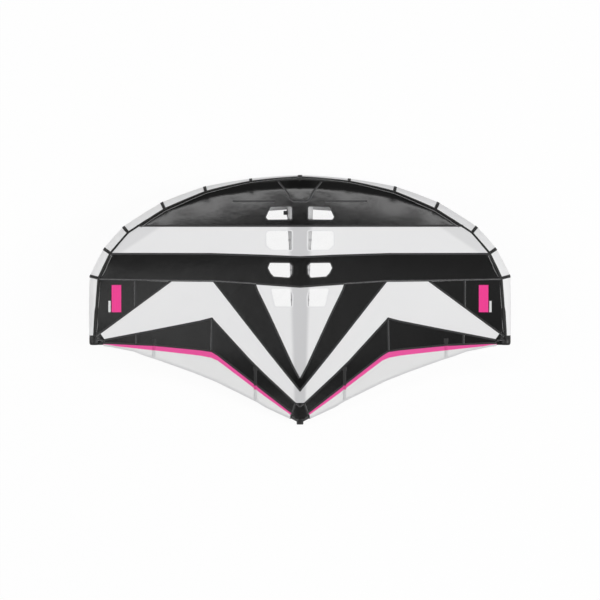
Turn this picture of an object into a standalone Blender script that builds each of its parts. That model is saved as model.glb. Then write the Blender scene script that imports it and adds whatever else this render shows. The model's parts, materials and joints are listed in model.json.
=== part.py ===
# Wingfoil wing: an inflated leading edge and strut under a sewn canopy with windows, battens and handles.
# Metres, +Z up. X runs along the span, +Y forward to the leading edge. It rests on z = 0.
import math

import bmesh
import bpy
import numpy as np
from mathutils import Matrix, Vector
from mathutils.bvhtree import BVHTree
from mathutils.geometry import delaunay_2d_cdt

for old in list(bpy.data.objects):
    bpy.data.objects.remove(old, do_unlink=True)

# Main sizes
HALF_SPAN = 1.509
CHORD = 1.801
LE_RADIUS = 0.118
TIP_RISE = 0.234
STRUT_RADIUS = 0.095
CLOTH = 0.001
FIT_GAP = 0.0003
TAPE_THICK = 0.0009
TAPE_GAP = 0.0008
# The centre strip stands ahead of the nose, so this puts the middle of the whole at y = 0.
NOSE_Y = (CHORD - TAPE_GAP - TAPE_THICK) / 2

# Leading edge seams, centre to tip: half span share, chord share, radius share, height share,
# and the angle of the canopy's front edge above the outer side of the tube
LE_SHARES = (
    (0, 0, 1, 0),
    (0.236, 0.014, 1, 0),
    (0.456, 0.046, 0.932, 0.09),
    (0.660, 0.110, 0.847, 0.285),
    (0.841, 0.2075, 0.729, 0.58),
    (0.932, 0.2953, 0.627, 0.77),
    (0.998, 0.4042, 0.525, 0.90),
    (1, 0.6405, 0.322, 0.985),
    (1, 0.679, 0.300, 1),
)
ATTACH_ANGLES = tuple(math.radians(a) for a in (27, 34, 50, 63, 70, 78, 92, 87, 87))
SLEEVE_END = len(LE_SHARES) - 2
LE_SIDES = 20
BLADDER_SIDES = LE_SIDES // 2
LE_STEP = math.tau / LE_SIDES

# Strut seams, front to tail: chord share and radius share
STRUT_SHARES = ((0.066, 1), (0.152, 0.968), (0.26, 0.863), (0.38, 0.747), (0.50, 0.684),
                (0.62, 0.59), (0.75, 0.484), (0.87, 0.38), (0.977, 0.221))
CREST_PEAK_SHARE = 0.28
CROWN_SHARE = LE_RADIUS / CHORD

# Canopy seams, centre to tip: half span share and chord share
WHITE_SEAM_SHARES = ((0, 0.2075), (0.775, 0.2075))
BLACK_SEAM_SHARES = ((0, 0.3255), (0.157, 0.3195), (0.425, 0.3127), (0.897, 0.3127))
REAR_SEAM_SHARES = ((0, 0.4502), (0.209, 0.4378), (0.41, 0.427), (0.611, 0.4254), (0.9605, 0.4202))
TIP_SEAM_SHARES = ((0.611, 0.4262), (0.946, 0.6333))
STRIPE_OUTER_SHARES = ((0.4132, 0.427), (0.382, 0.460), (0.143, 0.7173), (0, 0.8668))
STRIPE_INNER_SHARES = ((0.209, 0.4378), (0.200, 0.460), (0.143, 0.5586), (0.033, 0.760), (0, 0.812))
LOWER_SEAM_SHARES = ((0.928, 0.655), (0.692, 0.6173), (0.477, 0.5818), (0.419, 0.5694),
                     (0.234, 0.7401), (0.167, 0.7957), (0.020, 0.9116))
PINK_FRONT_SHARES = ((0.933, 0.674), (0.898, 0.6745), (0.692, 0.6825), (0.477, 0.7001),
                     (0.4222, 0.7069), (0.392, 0.7225), (0.167, 0.8709), (0.0415, 0.9533))
PINK_REAR_SHARES = ((0.934, 0.678), (0.7395, 0.6961), (0.5916, 0.7101), (0.477, 0.7217),
                    (0.4246, 0.7301), (0.392, 0.742), (0.167, 0.886), (0.046, 0.9595))
TRAILING_EDGE_SHARES = ((0.932, 0.683), (0.898, 0.687), (0.792, 0.7049), (0.7395, 0.7217),
                        (0.667, 0.7417), (0.5157, 0.7881), (0.4055, 0.8253), (0.2123, 0.906),
                        (0.167, 0.9296), (0.0945, 0.9584), (0.0496, 0.9756))
TAIL_SHARES = ((0.020, 0.9116), (0.0415, 0.9533), (0.046, 0.9595), (0.0496, 0.9756))
TIP_PATCH_SHARES = ((0.946, 0.6333), (0.928, 0.655), (0.934, 0.678), (0.9745, 0.678))
TIP_PATCH_FRONT_SHARE = 0.6173

# Windows beside the strut: half span share and chord share of each corner
WINDOW_SHARES = (
    ((0.0382, 0.1259), (0.0382, 0.1787), (0.1541, 0.1795), (0.1627, 0.1695), (0.1412, 0.1283)),
    ((0.0382, 0.2243), (0.0382, 0.3003), (0.135, 0.2999), (0.1608, 0.2815), (0.1608, 0.2323), (0.152, 0.2243)),
    ((0.0496, 0.3519), (0.0358, 0.3635), (0.0372, 0.3955), (0.051, 0.4106), (0.1245, 0.4062),
     (0.1393, 0.3938), (0.1531, 0.3723), (0.1436, 0.3511)),
    ((0.0477, 0.4534), (0.0358, 0.4842), (0.0382, 0.5262), (0.1188, 0.5254), (0.1388, 0.4534)),
)

# Cross strips over the leading edge's seams
STRIP_WIDTH = 0.018
CENTRE_STRIP_WIDTH = 0.029

# How finely the cloth is drawn
CLOTH_STEP = 0.150
EDGE_STEP = 0.120
CREASE_STEP = 0.240
CREASE_ROWS = (2, 3, 4, 5, 6)
RELAX_STEP = 0.0125
RELAX_LEVELS = (8, 4, 2, 1)
RELAX_ROUNDS = 500
BELLY_SHARE = 0.39622
SLOPE_REACH = 0.002
SHARPEST_MITRE_SHARE = 0.02
WELD_DISTANCE = 1e-7


def plan(half_share, chord_share, side=1):
    return Vector((side * half_share * HALF_SPAN, NOSE_Y - chord_share * CHORD, 0))


def material(name, colour, roughness, metallic=0.0, alpha=1.0):
    made = bpy.data.materials.new(name)
    made.use_nodes = True
    shader = made.node_tree.nodes["Principled BSDF"]
    shader.inputs["Base Color"].default_value = (*colour, 1)
    shader.inputs["Roughness"].default_value = roughness
    shader.inputs["Metallic"].default_value = metallic
    shader.inputs["Alpha"].default_value = alpha
    made.diffuse_color = (*colour, 1)
    return made


BLACK_CLOTH = material("black ripstop", (0.026, 0.026, 0.028), 0.62)
WHITE_CLOTH = material("white ripstop", (0.78, 0.78, 0.79), 0.55)
PINK_CLOTH = material("pink ripstop", (0.85, 0.07, 0.33), 0.55)
SAILCLOTH = material("white sailcloth", (0.84, 0.84, 0.84), 0.5)
FILM = material("clear window film", (0.9, 0.92, 0.94), 0.08, alpha=0.3)
HAZE_FILM = material("pale trailing film", (0.82, 0.82, 0.83), 0.3, alpha=0.7)
TAPE = material("black seam tape", (0.02, 0.02, 0.02), 0.6)
RUBBER = material("bladder film", (0.75, 0.76, 0.72), 0.4)
BLACK_PLASTIC = material("moulded black plastic", (0.018, 0.018, 0.018), 0.38)
SOFT_GRIP = material("black foam grip", (0.03, 0.03, 0.03), 0.85)
STEEL = material("stainless steel", (0.6, 0.6, 0.6), 0.28, 1)
GREY_FLAP = material("grey silicone", (0.35, 0.36, 0.37), 0.5)


def finished(name, bm, finish, smooth_below=40, cavity=()):
    """Turn a bmesh into a named object with outward faces. A cavity's faces turn the other way."""
    bmesh.ops.recalc_face_normals(bm, faces=bm.faces)
    if cavity:
        bmesh.ops.reverse_faces(bm, faces=list(cavity))
    mesh = bpy.data.meshes.new(name)
    bm.to_mesh(mesh)
    bm.free()
    mesh.materials.append(finish)
    mesh.shade_smooth()
    mesh.set_sharp_from_angle(angle=math.radians(smooth_below))
    made = bpy.data.objects.new(name, mesh)
    bpy.context.scene.collection.objects.link(made)
    return made


def as_cutter(made):
    made.hide_render = True
    made.display_type = "WIRE"
    return made


def boolean(made, other, operation="DIFFERENCE"):
    """Cut or join with a guide that the model then leaves out."""
    step = made.modifiers.new(operation.lower(), "BOOLEAN")
    step.operation = operation
    step.solver = "EXACT"
    step.object = as_cutter(other)


def skin(bm, rings):
    """Quads between neighbouring rings of points, closed round each ring."""
    rows = [[bm.verts.new(p) for p in ring] for ring in rings]
    for near, far in zip(rows, rows[1:]):
        for k in range(len(near)):
            after = (k + 1) % len(near)
            bm.faces.new((near[k], near[after], far[after], far[k]))
    return rows


def ring_wall(bm, outer, inner):
    """A flat annulus between two rings of the same count."""
    for k in range(len(outer)):
        after = (k + 1) % len(outer)
        bm.faces.new((outer[k], outer[after], inner[after], inner[k]))


def tube(name, outer, inner, finish, capped=False):
    """A tube wall from two sets of rings, open at both ends or with a wall over each end."""
    bm = bmesh.new()
    outside = skin(bm, outer)
    if capped:
        bm.faces.new(outside[0])
        bm.faces.new(outside[-1])
        shell = len(bm.faces)
        within = skin(bm, inner)
        bm.faces.new(within[0])
        bm.faces.new(within[-1])
        return finished(name, bm, finish, cavity=list(bm.faces)[shell:])
    within = skin(bm, inner)
    for end in (0, -1):
        ring_wall(bm, outside[end], within[end])
    return finished(name, bm, finish)


def solid_of(bm_rings):
    """A closed bmesh lofted through rings, with flat ends."""
    bm = bmesh.new()
    rows = skin(bm, bm_rings)
    bm.faces.new(rows[0])
    bm.faces.new(rows[-1])
    bmesh.ops.recalc_face_normals(bm, faces=bm.faces)
    return bm


# The leading edge's axis runs inside its outer outline. Its segments meet on mitre planes.
def leading_axis():
    outline = [plan(u, v) for u, v, _, _ in LE_SHARES]
    radii = [share * LE_RADIUS for _, _, share, _ in LE_SHARES]
    heights = [LE_RADIUS + share * TIP_RISE for _, _, _, share in LE_SHARES]
    mirrored = [Vector((-outline[1].x, outline[1].y, 0))] + outline
    axis = []
    for i, point in enumerate(outline):
        before = (point - mirrored[i]).normalized()
        after = (outline[i + 1] - point).normalized() if i + 1 < len(outline) else before
        out_before = Vector((-before.y, before.x, 0))
        out_after = Vector((-after.y, after.x, 0))
        mitre = (out_before + out_after).normalized()
        stretch = 1 / mitre.dot(out_after)
        axis.append((point - mitre * radii[i] * stretch, mitre * stretch, radii[i], heights[i]))
    return axis


LE_AXIS = leading_axis()


def le_corner(index, angle, allowance=0.0):
    """A point on the tube at a seam, by its angle above the outward horizontal."""
    centre, mitre, radius, height = LE_AXIS[index]
    reach = radius + allowance
    return centre + mitre * reach * math.cos(angle) + Vector((0, 0, height + reach * math.sin(angle)))


def le_point(station, angle, allowance=0.0, side=1):
    """A point on the tube between seams: station 1.5 is halfway between seams 1 and 2."""
    index = min(int(station), len(LE_AXIS) - 2)
    share = station - index
    point = le_corner(index, angle, allowance).lerp(le_corner(index + 1, angle, allowance), share)
    return Vector((side * point.x, point.y, point.z))


def attach_angle(station):
    index = min(int(station), len(LE_AXIS) - 2)
    share = station - index
    return ATTACH_ANGLES[index] * (1 - share) + ATTACH_ANGLES[index + 1] * share


def le_length(index):
    return (LE_AXIS[index + 1][0] - LE_AXIS[index][0]).length


def le_ring(station, allowance, side, sides=LE_SIDES):
    return [le_point(station, k * math.tau / sides, allowance, side) for k in range(sides)]


def half_span_rings(allowance, side):
    """The rings of one half of the sleeve, which stops just short of the centre seam."""
    first = [Vector((side * FIT_GAP / 2, p.y, p.z)) for p in le_ring(0, allowance, side)]
    return [first] + [le_ring(index, allowance, side) for index in range(1, SLEEVE_END + 1)]


def full_span_rings(allowance, last, sides=LE_SIDES):
    """Rings from the left tip to the right one. The last station may lie between seams."""
    stations = list(range(1, math.ceil(last))) + [last]
    left = [le_ring(station, allowance, -1, sides) for station in stations[::-1]]
    return left + [le_ring(station, allowance, 1, sides) for station in [0] + stations]


# The strut hangs under its crest line, which rises behind the leading edge and falls to the tail.
TAIL_CAP_WALL = 0.002
TAIL_RADIUS = STRUT_SHARES[-1][1] * STRUT_RADIUS
TAIL_LIFT = 0.001
TAIL_CREST = 2 * TAIL_RADIUS + TAIL_CAP_WALL + FIT_GAP + TAIL_LIFT


def crest_curve(chord_share):
    along = (chord_share - CROWN_SHARE) / (1 - CROWN_SHARE)
    drop = (2 * LE_RADIUS - TAIL_CREST) / (1 - 2 * CREST_PEAK_SHARE)
    return 2 * LE_RADIUS + drop * (2 * CREST_PEAK_SHARE * along - along * along)


def crest(chord_share):
    """The strut's top line: straight between its seams, which lie on the crest curve."""
    places = [v for v, _ in STRUT_SHARES]
    if places[0] <= chord_share <= places[-1]:
        return float(np.interp(chord_share, places, [crest_curve(v) for v in places]))
    return crest_curve(chord_share)


def strut_radius(chord_share):
    places = [v for v, _ in STRUT_SHARES]
    return STRUT_RADIUS * float(np.interp(chord_share, places, [r for _, r in STRUT_SHARES]))


def strut_ring(chord_share, allowance, sides=LE_SIDES):
    radius = strut_radius(chord_share)
    centre = Vector((0, NOSE_Y - chord_share * CHORD, crest(chord_share) - radius))
    reach = radius + allowance
    return [centre + Vector((reach * math.cos(k * math.tau / sides), 0, reach * math.sin(k * math.tau / sides)))
            for k in range(sides)]


def strut_rings(allowance, shares=STRUT_SHARES):
    return [strut_ring(v, allowance) for v, _ in shares]


def strut_floor(chord_share, allowance=0.0):
    return crest(chord_share) - 2 * strut_radius(chord_share) - allowance


# The canopy is laid over the tubes: a stretched cloth that settles on them, with a slight belly.
CLOTH_GAP = 0.0006
TE_TIP_SHARE = 1.25


def edge_height(x):
    tip = LE_AXIS[-1][3] + LE_AXIS[-1][2]
    tail = crest(TAIL_SHARES[-1][1]) + CLOTH_GAP
    return tail + (tip - tail) * (abs(x) / HALF_SPAN) ** TE_TIP_SHARE


def tree_of(meshes):
    points = []
    faces = []
    for bm in meshes:
        base = len(points)
        bm.verts.index_update()
        points += [v.co.copy() for v in bm.verts]
        faces += [[base + v.index for v in f.verts] for f in bm.faces]
        bm.free()
    return BVHTree.FromPolygons(points, faces)


TUBES = tree_of([solid_of(full_span_rings(CLOTH_GAP, len(LE_AXIS) - 1)),
                 solid_of(strut_rings(CLOTH_GAP))])
HIGH = 2 * (LE_RADIUS + TIP_RISE)


def tube_top(x, y):
    hit = TUBES.ray_cast(Vector((x, y, HIGH)), Vector((0, 0, -1)))[0]
    return hit.z if hit else None


def edge_stations():
    """Stations along half the front edge, and whether a cross strip lies between each and the next."""
    stations = {0: True}
    for index in range(SLEEVE_END):
        half = (STRIP_WIDTH if index else CENTRE_STRIP_WIDTH) / 2
        length = le_length(index)
        if index:
            stations[index - half / le_length(index - 1)] = True
            stations[index] = True
        stations[index + half / length] = False
        count = round(length / EDGE_STEP)
        for step in range(1, count):
            if half / length < step / count < 1 - STRIP_WIDTH / length:
                stations[index + step / count] = False
    stations[SLEEVE_END] = False
    return sorted(stations.items())


def front_edge():
    """The canopy's front edge, centre to the last seam, in plan."""
    return [le_point(station, attach_angle(station)).to_2d() for station, _ in edge_stations()]


def flat_plan(shares):
    return [plan(u, v).to_2d() for u, v in shares]


def inside(point, outline):
    found = False
    for a, b in zip(outline, outline[1:] + outline[:1]):
        if (a.y > point.y) != (b.y > point.y):
            if point.x < (b.x - a.x) * (point.y - a.y) / (b.y - a.y) + a.x:
                found = not found
    return found


def settle():
    """Heights of the relaxed cloth on a grid over the right half, coarse to fine."""
    coarse = RELAX_LEVELS[0]
    columns = int(HALF_SPAN / RELAX_STEP / coarse + 2) * coarse + 1
    rows = int(CHORD / RELAX_STEP / coarse + 2) * coarse + 1
    xs = np.arange(columns) * RELAX_STEP
    ys = NOSE_Y + coarse * RELAX_STEP - np.arange(rows) * RELAX_STEP
    border = front_edge() + flat_plan(TRAILING_EDGE_SHARES)
    border += [Vector((0, -NOSE_Y)), Vector((0, NOSE_Y))]
    floor = np.full((rows, columns), -1.0)
    held = np.ones((rows, columns), bool)
    heights = np.zeros((rows, columns))
    for j, y in enumerate(ys):
        for i, x in enumerate(xs):
            top = tube_top(x, y)
            if top is not None:
                floor[j, i] = top
            held[j, i] = not inside(Vector((x, y)), border)
            heights[j, i] = edge_height(x) if top is None else max(top, 0)
    result = None
    for level in RELAX_LEVELS:
        low = floor[::level, ::level]
        fixed = held[::level, ::level]
        start = heights[::level, ::level]
        if result is None:
            z = start.copy()
        else:
            z = np.repeat(np.repeat(result, 2, 0), 2, 1)[:start.shape[0], :start.shape[1]]
            z = np.where(fixed, start, z)
        load = BELLY_SHARE / CHORD * (RELAX_STEP * level) ** 2 / 4
        for _ in range(RELAX_ROUNDS):
            wide = np.pad(z, 1, mode="edge")
            wide[1:-1, 0] = z[:, 1]
            mean = (wide[1:-1, :-2] + wide[1:-1, 2:] + wide[:-2, 1:-1] + wide[2:, 1:-1]) / 4
            z = np.where(fixed, start, np.maximum(mean + load, low))
        result = z
    return xs, ys, result


GRID_X, GRID_Y, GRID_Z = settle()


def height(x, y):
    """The underside of the canopy over a point of the plan."""
    across = abs(x) / RELAX_STEP
    down = (GRID_Y[0] - y) / RELAX_STEP
    i = min(int(across), len(GRID_X) - 2)
    j = min(int(down), len(GRID_Y) - 2)
    a = across - i
    b = down - j
    z = ((GRID_Z[j, i] * (1 - a) + GRID_Z[j, i + 1] * a) * (1 - b)
         + (GRID_Z[j + 1, i] * (1 - a) + GRID_Z[j + 1, i + 1] * a) * b)
    top = tube_top(x, y)
    return z if top is None else max(z, top)


def lean(x, y):
    """The upward unit normal of the canopy."""
    slope_x = (height(x + SLOPE_REACH, y) - height(x - SLOPE_REACH, y)) / (2 * SLOPE_REACH)
    slope_y = (height(x, y + SLOPE_REACH) - height(x, y - SLOPE_REACH)) / (2 * SLOPE_REACH)
    return Vector((-slope_x, -slope_y, 1)).normalized()


def creases():
    """Lines in plan that the cloth folds along: the tubes' facet edges and the mitres between segments."""
    lines = []
    for index in range(len(LE_AXIS) - 1):
        count = max(1, round(le_length(index) / CREASE_STEP))
        for k in CREASE_ROWS:
            ends = [le_point(index + step / count, k * LE_STEP) for step in range(count + 1)]
            lines += list(zip(ends, ends[1:]))
        lines += [(le_point(index, k * LE_STEP), le_point(index, (k + 1) * LE_STEP))
                  for k in CREASE_ROWS[:-1]]
    for k in range(2):
        ends = [Vector((strut_radius(v) * math.sin(k * LE_STEP), NOSE_Y - v * CHORD, 0))
                for v, _ in STRUT_SHARES[1:]]
        lines += list(zip(ends, ends[1:]))
    flat = [(a.to_2d(), b.to_2d()) for a, b in lines]
    return flat + [(Vector((-a.x, a.y)), Vector((-b.x, b.y))) for a, b in flat if a.x + b.x > 0]


def guide_points():
    """A plain grid of points between the creases."""
    points = []
    near = [p for line in CREASES for p in line]
    for i in range(int(HALF_SPAN / CLOTH_STEP) + 1):
        for j in range(int(CHORD / CLOTH_STEP) + 1):
            spot = Vector(((i + 0.5) * CLOTH_STEP, NOSE_Y - (j + 0.5) * CLOTH_STEP))
            if all((spot - p).length > CLOTH_STEP / 2 for p in near):
                points.append(spot)
    return points + [Vector((-p.x, p.y)) for p in points]


CREASES = creases()
GUIDES = guide_points()


def inset(outline, distance):
    """The outline moved inward, with mitred corners. It runs anticlockwise."""
    moved = []
    for before, point, after in zip(outline[-1:] + outline[:-1], outline, outline[1:] + outline[:1]):
        into = (point - before).normalized()
        away = (after - point).normalized()
        left = Vector((-into.y, into.x))
        other = Vector((-away.y, away.x))
        mitre = left + other
        moved.append(point + mitre * (2 * distance / max(mitre.length_squared, SHARPEST_MITRE_SHARE)))
    return moved


def anticlockwise(outline):
    area = sum(a.cross(b) for a, b in zip(outline, outline[1:] + outline[:1]))
    return outline if area > 0 else outline[::-1]


def spaced(outline, step):
    points = []
    for a, b in zip(outline, outline[1:] + outline[:1]):
        count = max(1, math.ceil((b - a).length / step))
        points += [a.lerp(b, k / count) for k in range(count)]
    return points


def edge_distance(point, loop):
    best = math.inf
    for a, b in zip(loop, loop[1:] + loop[:1]):
        along = b - a
        share = min(max((point - a).dot(along) / along.length_squared, 0), 1)
        best = min(best, (point - a - along * share).length)
    return best


def panel(name, outline, finish, holes=()):
    """A sewn panel: its outline in plan, filled, laid on the canopy and given its thickness."""
    rim = spaced(inset(anticlockwise(outline), FIT_GAP / 2), EDGE_STEP)
    cuts = [spaced(anticlockwise(hole), EDGE_STEP) for hole in holes]
    loops = [rim] + cuts
    points = []
    edges = []
    for loop in loops:
        base = len(points)
        points += loop
        edges += [(base + k, base + (k + 1) % len(loop)) for k in range(len(loop))]
    margin = EDGE_STEP / 4
    low = Vector((min(p.x for p in rim), min(p.y for p in rim)))
    high = Vector((max(p.x for p in rim), max(p.y for p in rim)))
    for spot in GUIDES:
        if low.x < spot.x < high.x and low.y < spot.y < high.y and inside(spot, rim):
            if all(edge_distance(spot, loop) > margin for loop in loops):
                if not any(inside(spot, cut) for cut in cuts):
                    points.append(spot)
    for a, b in CREASES:
        if low.x < max(a.x, b.x) and min(a.x, b.x) < high.x and low.y < max(a.y, b.y) and min(a.y, b.y) < high.y:
            edges.append((len(points), len(points) + 1))
            points += [a, b]
    face = [list(range(len(rim)))]
    flat, _, faces, _, _, _ = delaunay_2d_cdt(points, edges, face, 1, WELD_DISTANCE)
    kept = []
    for corners in faces:
        middle = sum((flat[c] for c in corners), Vector((0, 0))) / len(corners)
        if inside(middle, rim) and not any(inside(middle, cut) for cut in cuts):
            kept.append(corners)
    used = sorted({c for corners in kept for c in corners})
    bm = bmesh.new()
    under = {}
    over = {}
    for c in used:
        x, y = flat[c]
        base = Vector((x, y, height(x, y)))
        under[c] = bm.verts.new(base)
        over[c] = bm.verts.new(base + lean(x, y) * CLOTH)
    sides = {}
    for corners in kept:
        bm.faces.new([over[c] for c in corners])
        bm.faces.new([under[c] for c in reversed(corners)])
        for a, b in zip(corners, list(corners[1:]) + [corners[0]]):
            sides[(a, b)] = True
    for a, b in sides:
        if (b, a) not in sides:
            bm.faces.new((under[a], under[b], over[b], over[a]))
    return finished(name, bm, finish)


def flipped(points):
    return [Vector((-p.x, p.y)) for p in points]


def both_sides(half):
    """An outline across the centre from its right half, which starts and ends on the centre line."""
    return half + flipped(half)[::-1][1:-1]


FRONT_EDGE = front_edge()


def front_edge_between(ahead, behind):
    """The part of the front edge between two places along the chord."""
    top = NOSE_Y - ahead * CHORD
    bottom = NOSE_Y - behind * CHORD
    middle = [p for p in FRONT_EDGE if bottom < p.y < top]
    ends = []
    for limit in (top, bottom):
        for a, b in zip(FRONT_EDGE, FRONT_EDGE[1:]):
            if b.y <= limit < a.y:
                ends.append((limit, a.lerp(b, (a.y - limit) / (a.y - b.y))))
    points = {round(p.y, 6): p for p in middle}
    for limit, p in ends:
        points[round(limit, 6)] = p
    return [points[y] for y in sorted(points, reverse=True)]


def sides_of(name, half, finish):
    """A left and a right panel from the right one's outline."""
    panel(name + "_right", half, finish)
    panel(name + "_left", flipped(half), finish)


def window_outlines(row, side=1):
    outline = flat_plan(WINDOW_SHARES[row])
    return flipped(outline) if side < 0 else outline


def with_windows(name, outline, finish, row):
    panel(name, outline, finish, [window_outlines(row), window_outlines(row, -1)])
    for side, word in ((1, "right"), (-1, "left")):
        pane = inset(anticlockwise(window_outlines(row, side)), FIT_GAP / 2)
        panel(f"window_{word}_{row + 1}", pane, FILM)


def canopy():
    white = flat_plan(WHITE_SEAM_SHARES)
    black = flat_plan(BLACK_SEAM_SHARES)
    rear = flat_plan(REAR_SEAM_SHARES)
    front = front_edge_between(-1, WHITE_SEAM_SHARES[-1][1])
    with_windows("front_panel", both_sides([FRONT_EDGE[0]] + front[1:] + [white[0]]), BLACK_CLOTH, 0)
    side = front_edge_between(WHITE_SEAM_SHARES[-1][1], BLACK_SEAM_SHARES[-1][1])
    with_windows("white_band", both_sides([white[0]] + side + black[-2::-1]), WHITE_CLOTH, 1)
    side = front_edge_between(BLACK_SEAM_SHARES[-1][1], REAR_SEAM_SHARES[-1][1])
    with_windows("rear_black_band", both_sides(black[:-1] + side + rear[-2::-1]), BLACK_CLOTH, 2)
    outer = flat_plan(STRIPE_OUTER_SHARES)
    inner = flat_plan(STRIPE_INNER_SHARES)
    with_windows("centre_wedge", both_sides([rear[0]] + inner), WHITE_CLOTH, 3)
    stripe = [inner[-1]] + inner[-2::-1] + outer
    panel("v_stripe", both_sides(stripe), BLACK_CLOTH)
    tip = flat_plan(TIP_SEAM_SHARES)
    patch = flat_plan(TIP_PATCH_SHARES)
    side = front_edge_between(REAR_SEAM_SHARES[-1][1], TIP_PATCH_FRONT_SHARE)
    sides_of("tip_panel", [tip[0]] + side + [patch[0]], BLACK_CLOTH)
    lower = flat_plan(LOWER_SEAM_SHARES)
    tail = flat_plan(TAIL_SHARES)
    centre = plan(0, TAIL_SHARES[0][1]).to_2d()
    sides_of("white_wedge", [outer[0], tip[0], tip[1]] + lower + [centre] + outer[:0:-1], WHITE_CLOTH)
    pink_front = flat_plan(PINK_FRONT_SHARES)
    pink_rear = flat_plan(PINK_REAR_SHARES)
    sides_of("trailing_black", lower + pink_front[::-1], BLACK_CLOTH)
    sides_of("pink_band", pink_front + pink_rear[::-1], PINK_CLOTH)
    sides_of("trailing_film", pink_rear + flat_plan(TRAILING_EDGE_SHARES)[::-1], HAZE_FILM)
    sides_of("tip_patch", patch + front_edge_between(TIP_PATCH_FRONT_SHARE, 1)[::-1], BLACK_CLOTH)
    panel("tail_patch", both_sides([centre] + tail + [plan(0, TAIL_SHARES[-1][1]).to_2d()]), BLACK_CLOTH)


canopy()


# Tubes: two sleeve halves and one bladder in the leading edge, a sleeve and a bladder in the strut
BLADDER_WALL = 0.0015
HOSE_RADIUS = 0.012
HOSE_WALL = 0.002
HOSE_REACH = 0.020
BLADDER_SETBACK = 0.019742
STRUT_BLADDER_SHARES = ((2 * LE_RADIUS + BLADDER_SETBACK) / CHORD, 0.26, 0.38, 0.50, 0.62, 0.75, 0.87, 0.965)


def rod(name, start, end, radius, finish=BLACK_PLASTIC, sides=16):
    """A round bar between two points."""
    along = (end - start).normalized()
    across = along.orthogonal().normalized()
    other = along.cross(across)
    rings = []
    for centre in (start, end):
        rings.append([centre + (across * math.cos(k * math.tau / sides) + other * math.sin(k * math.tau / sides))
                      * radius for k in range(sides)])
    return finished(name, solid_of(rings), finish)


def guide_solid(name, rings):
    return as_cutter(finished(name, solid_of(rings), BLACK_PLASTIC))


def tubes():
    hose_front = Vector((0, NOSE_Y - 2 * LE_RADIUS + HOSE_REACH, LE_RADIUS))
    hose_rear = Vector((0, NOSE_Y - STRUT_BLADDER_SHARES[0] * CHORD - HOSE_REACH, LE_RADIUS))
    hose_hole = as_cutter(rod("hose_hole", hose_front, hose_rear, HOSE_RADIUS + FIT_GAP))
    for side, word in ((1, "right"), (-1, "left")):
        half = tube("leading_edge_" + word, half_span_rings(0, side), half_span_rings(-CLOTH, side), SAILCLOTH)
        boolean(half, hose_hole)
    snug = -CLOTH - FIT_GAP
    thin = BLADDER_WALL / le_length(SLEEVE_END - 1)
    bladder = tube("leading_edge_bladder", full_span_rings(snug, SLEEVE_END, BLADDER_SIDES),
                   full_span_rings(snug - BLADDER_WALL, SLEEVE_END - thin, BLADDER_SIDES), RUBBER, capped=True)
    boolean(bladder, hose_hole)
    sleeve = tube("strut_sleeve", strut_rings(0), strut_rings(-CLOTH), SAILCLOTH)
    boolean(sleeve, guide_solid("leading_edge_form", full_span_rings(FIT_GAP, 1)))
    boolean(sleeve, valve_hole())
    ends = list(STRUT_BLADDER_SHARES)
    ends[0] += BLADDER_WALL / CHORD
    ends[-1] -= BLADDER_WALL / CHORD
    bladder = tube("strut_bladder", [strut_ring(v, snug, BLADDER_SIDES) for v in STRUT_BLADDER_SHARES],
                   [strut_ring(v, snug - BLADDER_WALL, BLADDER_SIDES) for v in ends], RUBBER, capped=True)
    boolean(bladder, hose_hole)
    boolean(bladder, valve_hole())
    hose = rod("link_hose", hose_front, hose_rear, HOSE_RADIUS, RUBBER)
    past = Vector((0, HOSE_WALL, 0))
    boolean(hose, rod("hose_bore", hose_front + past, hose_rear - past, HOSE_RADIUS - HOSE_WALL))


# Seam tape: a band under the canopy's front edge, and a strip down the front of the tube at each seam
TAPE_BAND = 0.009
TAPE_SPACE = 0.0009
STRIP_LOW_ROW = -4
STRIP_START_SHARE = 0.05


def cells_to_solid(name, cells, over, under, finish):
    """Thicken a patch of cells, given by its corners' keys, between two point functions."""
    bm = bmesh.new()
    top = {}
    low = {}
    for key in {k for cell in cells for k in cell}:
        top[key] = bm.verts.new(over(key))
        low[key] = bm.verts.new(under(key))
    used = {}
    for cell in cells:
        bm.faces.new([top[k] for k in cell])
        bm.faces.new([low[k] for k in reversed(cell)])
        for a, b in zip(cell, cell[1:] + cell[:1]):
            used[(a, b)] = True
    for a, b in used:
        if (b, a) not in used:
            bm.faces.new((low[a], low[b], top[b], top[a]))
    return finished(name, bm, finish)


def seam_tape():
    cells = []
    stations = edge_stations()
    for (near, strip), (far, _) in zip(stations, stations[1:]):
        for side in (1, -1):
            def corner(station, level, angle=0.0):
                return (station * side, level, round(angle, 6))
            cell = [corner(near, 0), corner(far, 0), corner(far, 1), corner(near, 1)]
            rows = [cell]
            if strip:
                seam = round((near + far) / 2)
                band_low = attach_angle(seam) - TAPE_BAND / LE_AXIS[seam][2]
                first_row = math.floor(band_low / LE_STEP - STRIP_START_SHARE)
                angles = [k * LE_STEP for k in range(first_row, STRIP_LOW_ROW - 1, -1)]
                levels = [(1, 0.0)] + [(2, a) for a in angles]
                for (p, a), (q, b) in zip(levels, levels[1:]):
                    rows.append([corner(near, p, a), corner(far, p, a), corner(far, q, b), corner(near, q, b)])
            cells += rows if side > 0 else [row[::-1] for row in rows]

    def place(key, allowance):
        station, level, angle = key
        at = abs(station)
        if level < 2:
            radius = LE_AXIS[min(round(at), SLEEVE_END)][2]
            angle = attach_angle(at) - (TAPE_SPACE + level * TAPE_BAND) / radius
        return le_point(at, angle, allowance, 1 if station >= 0 else -1)
    return cells_to_solid("seam_tape", cells, lambda key: place(key, TAPE_GAP + TAPE_THICK),
                          lambda key: place(key, TAPE_GAP), TAPE)


# Moulded ends
CAP_WALL = 0.002
CAP_SHOULDERS = ((0, 0), (0.6, 0), (0.88, 0.25), (1, 0.65))


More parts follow.
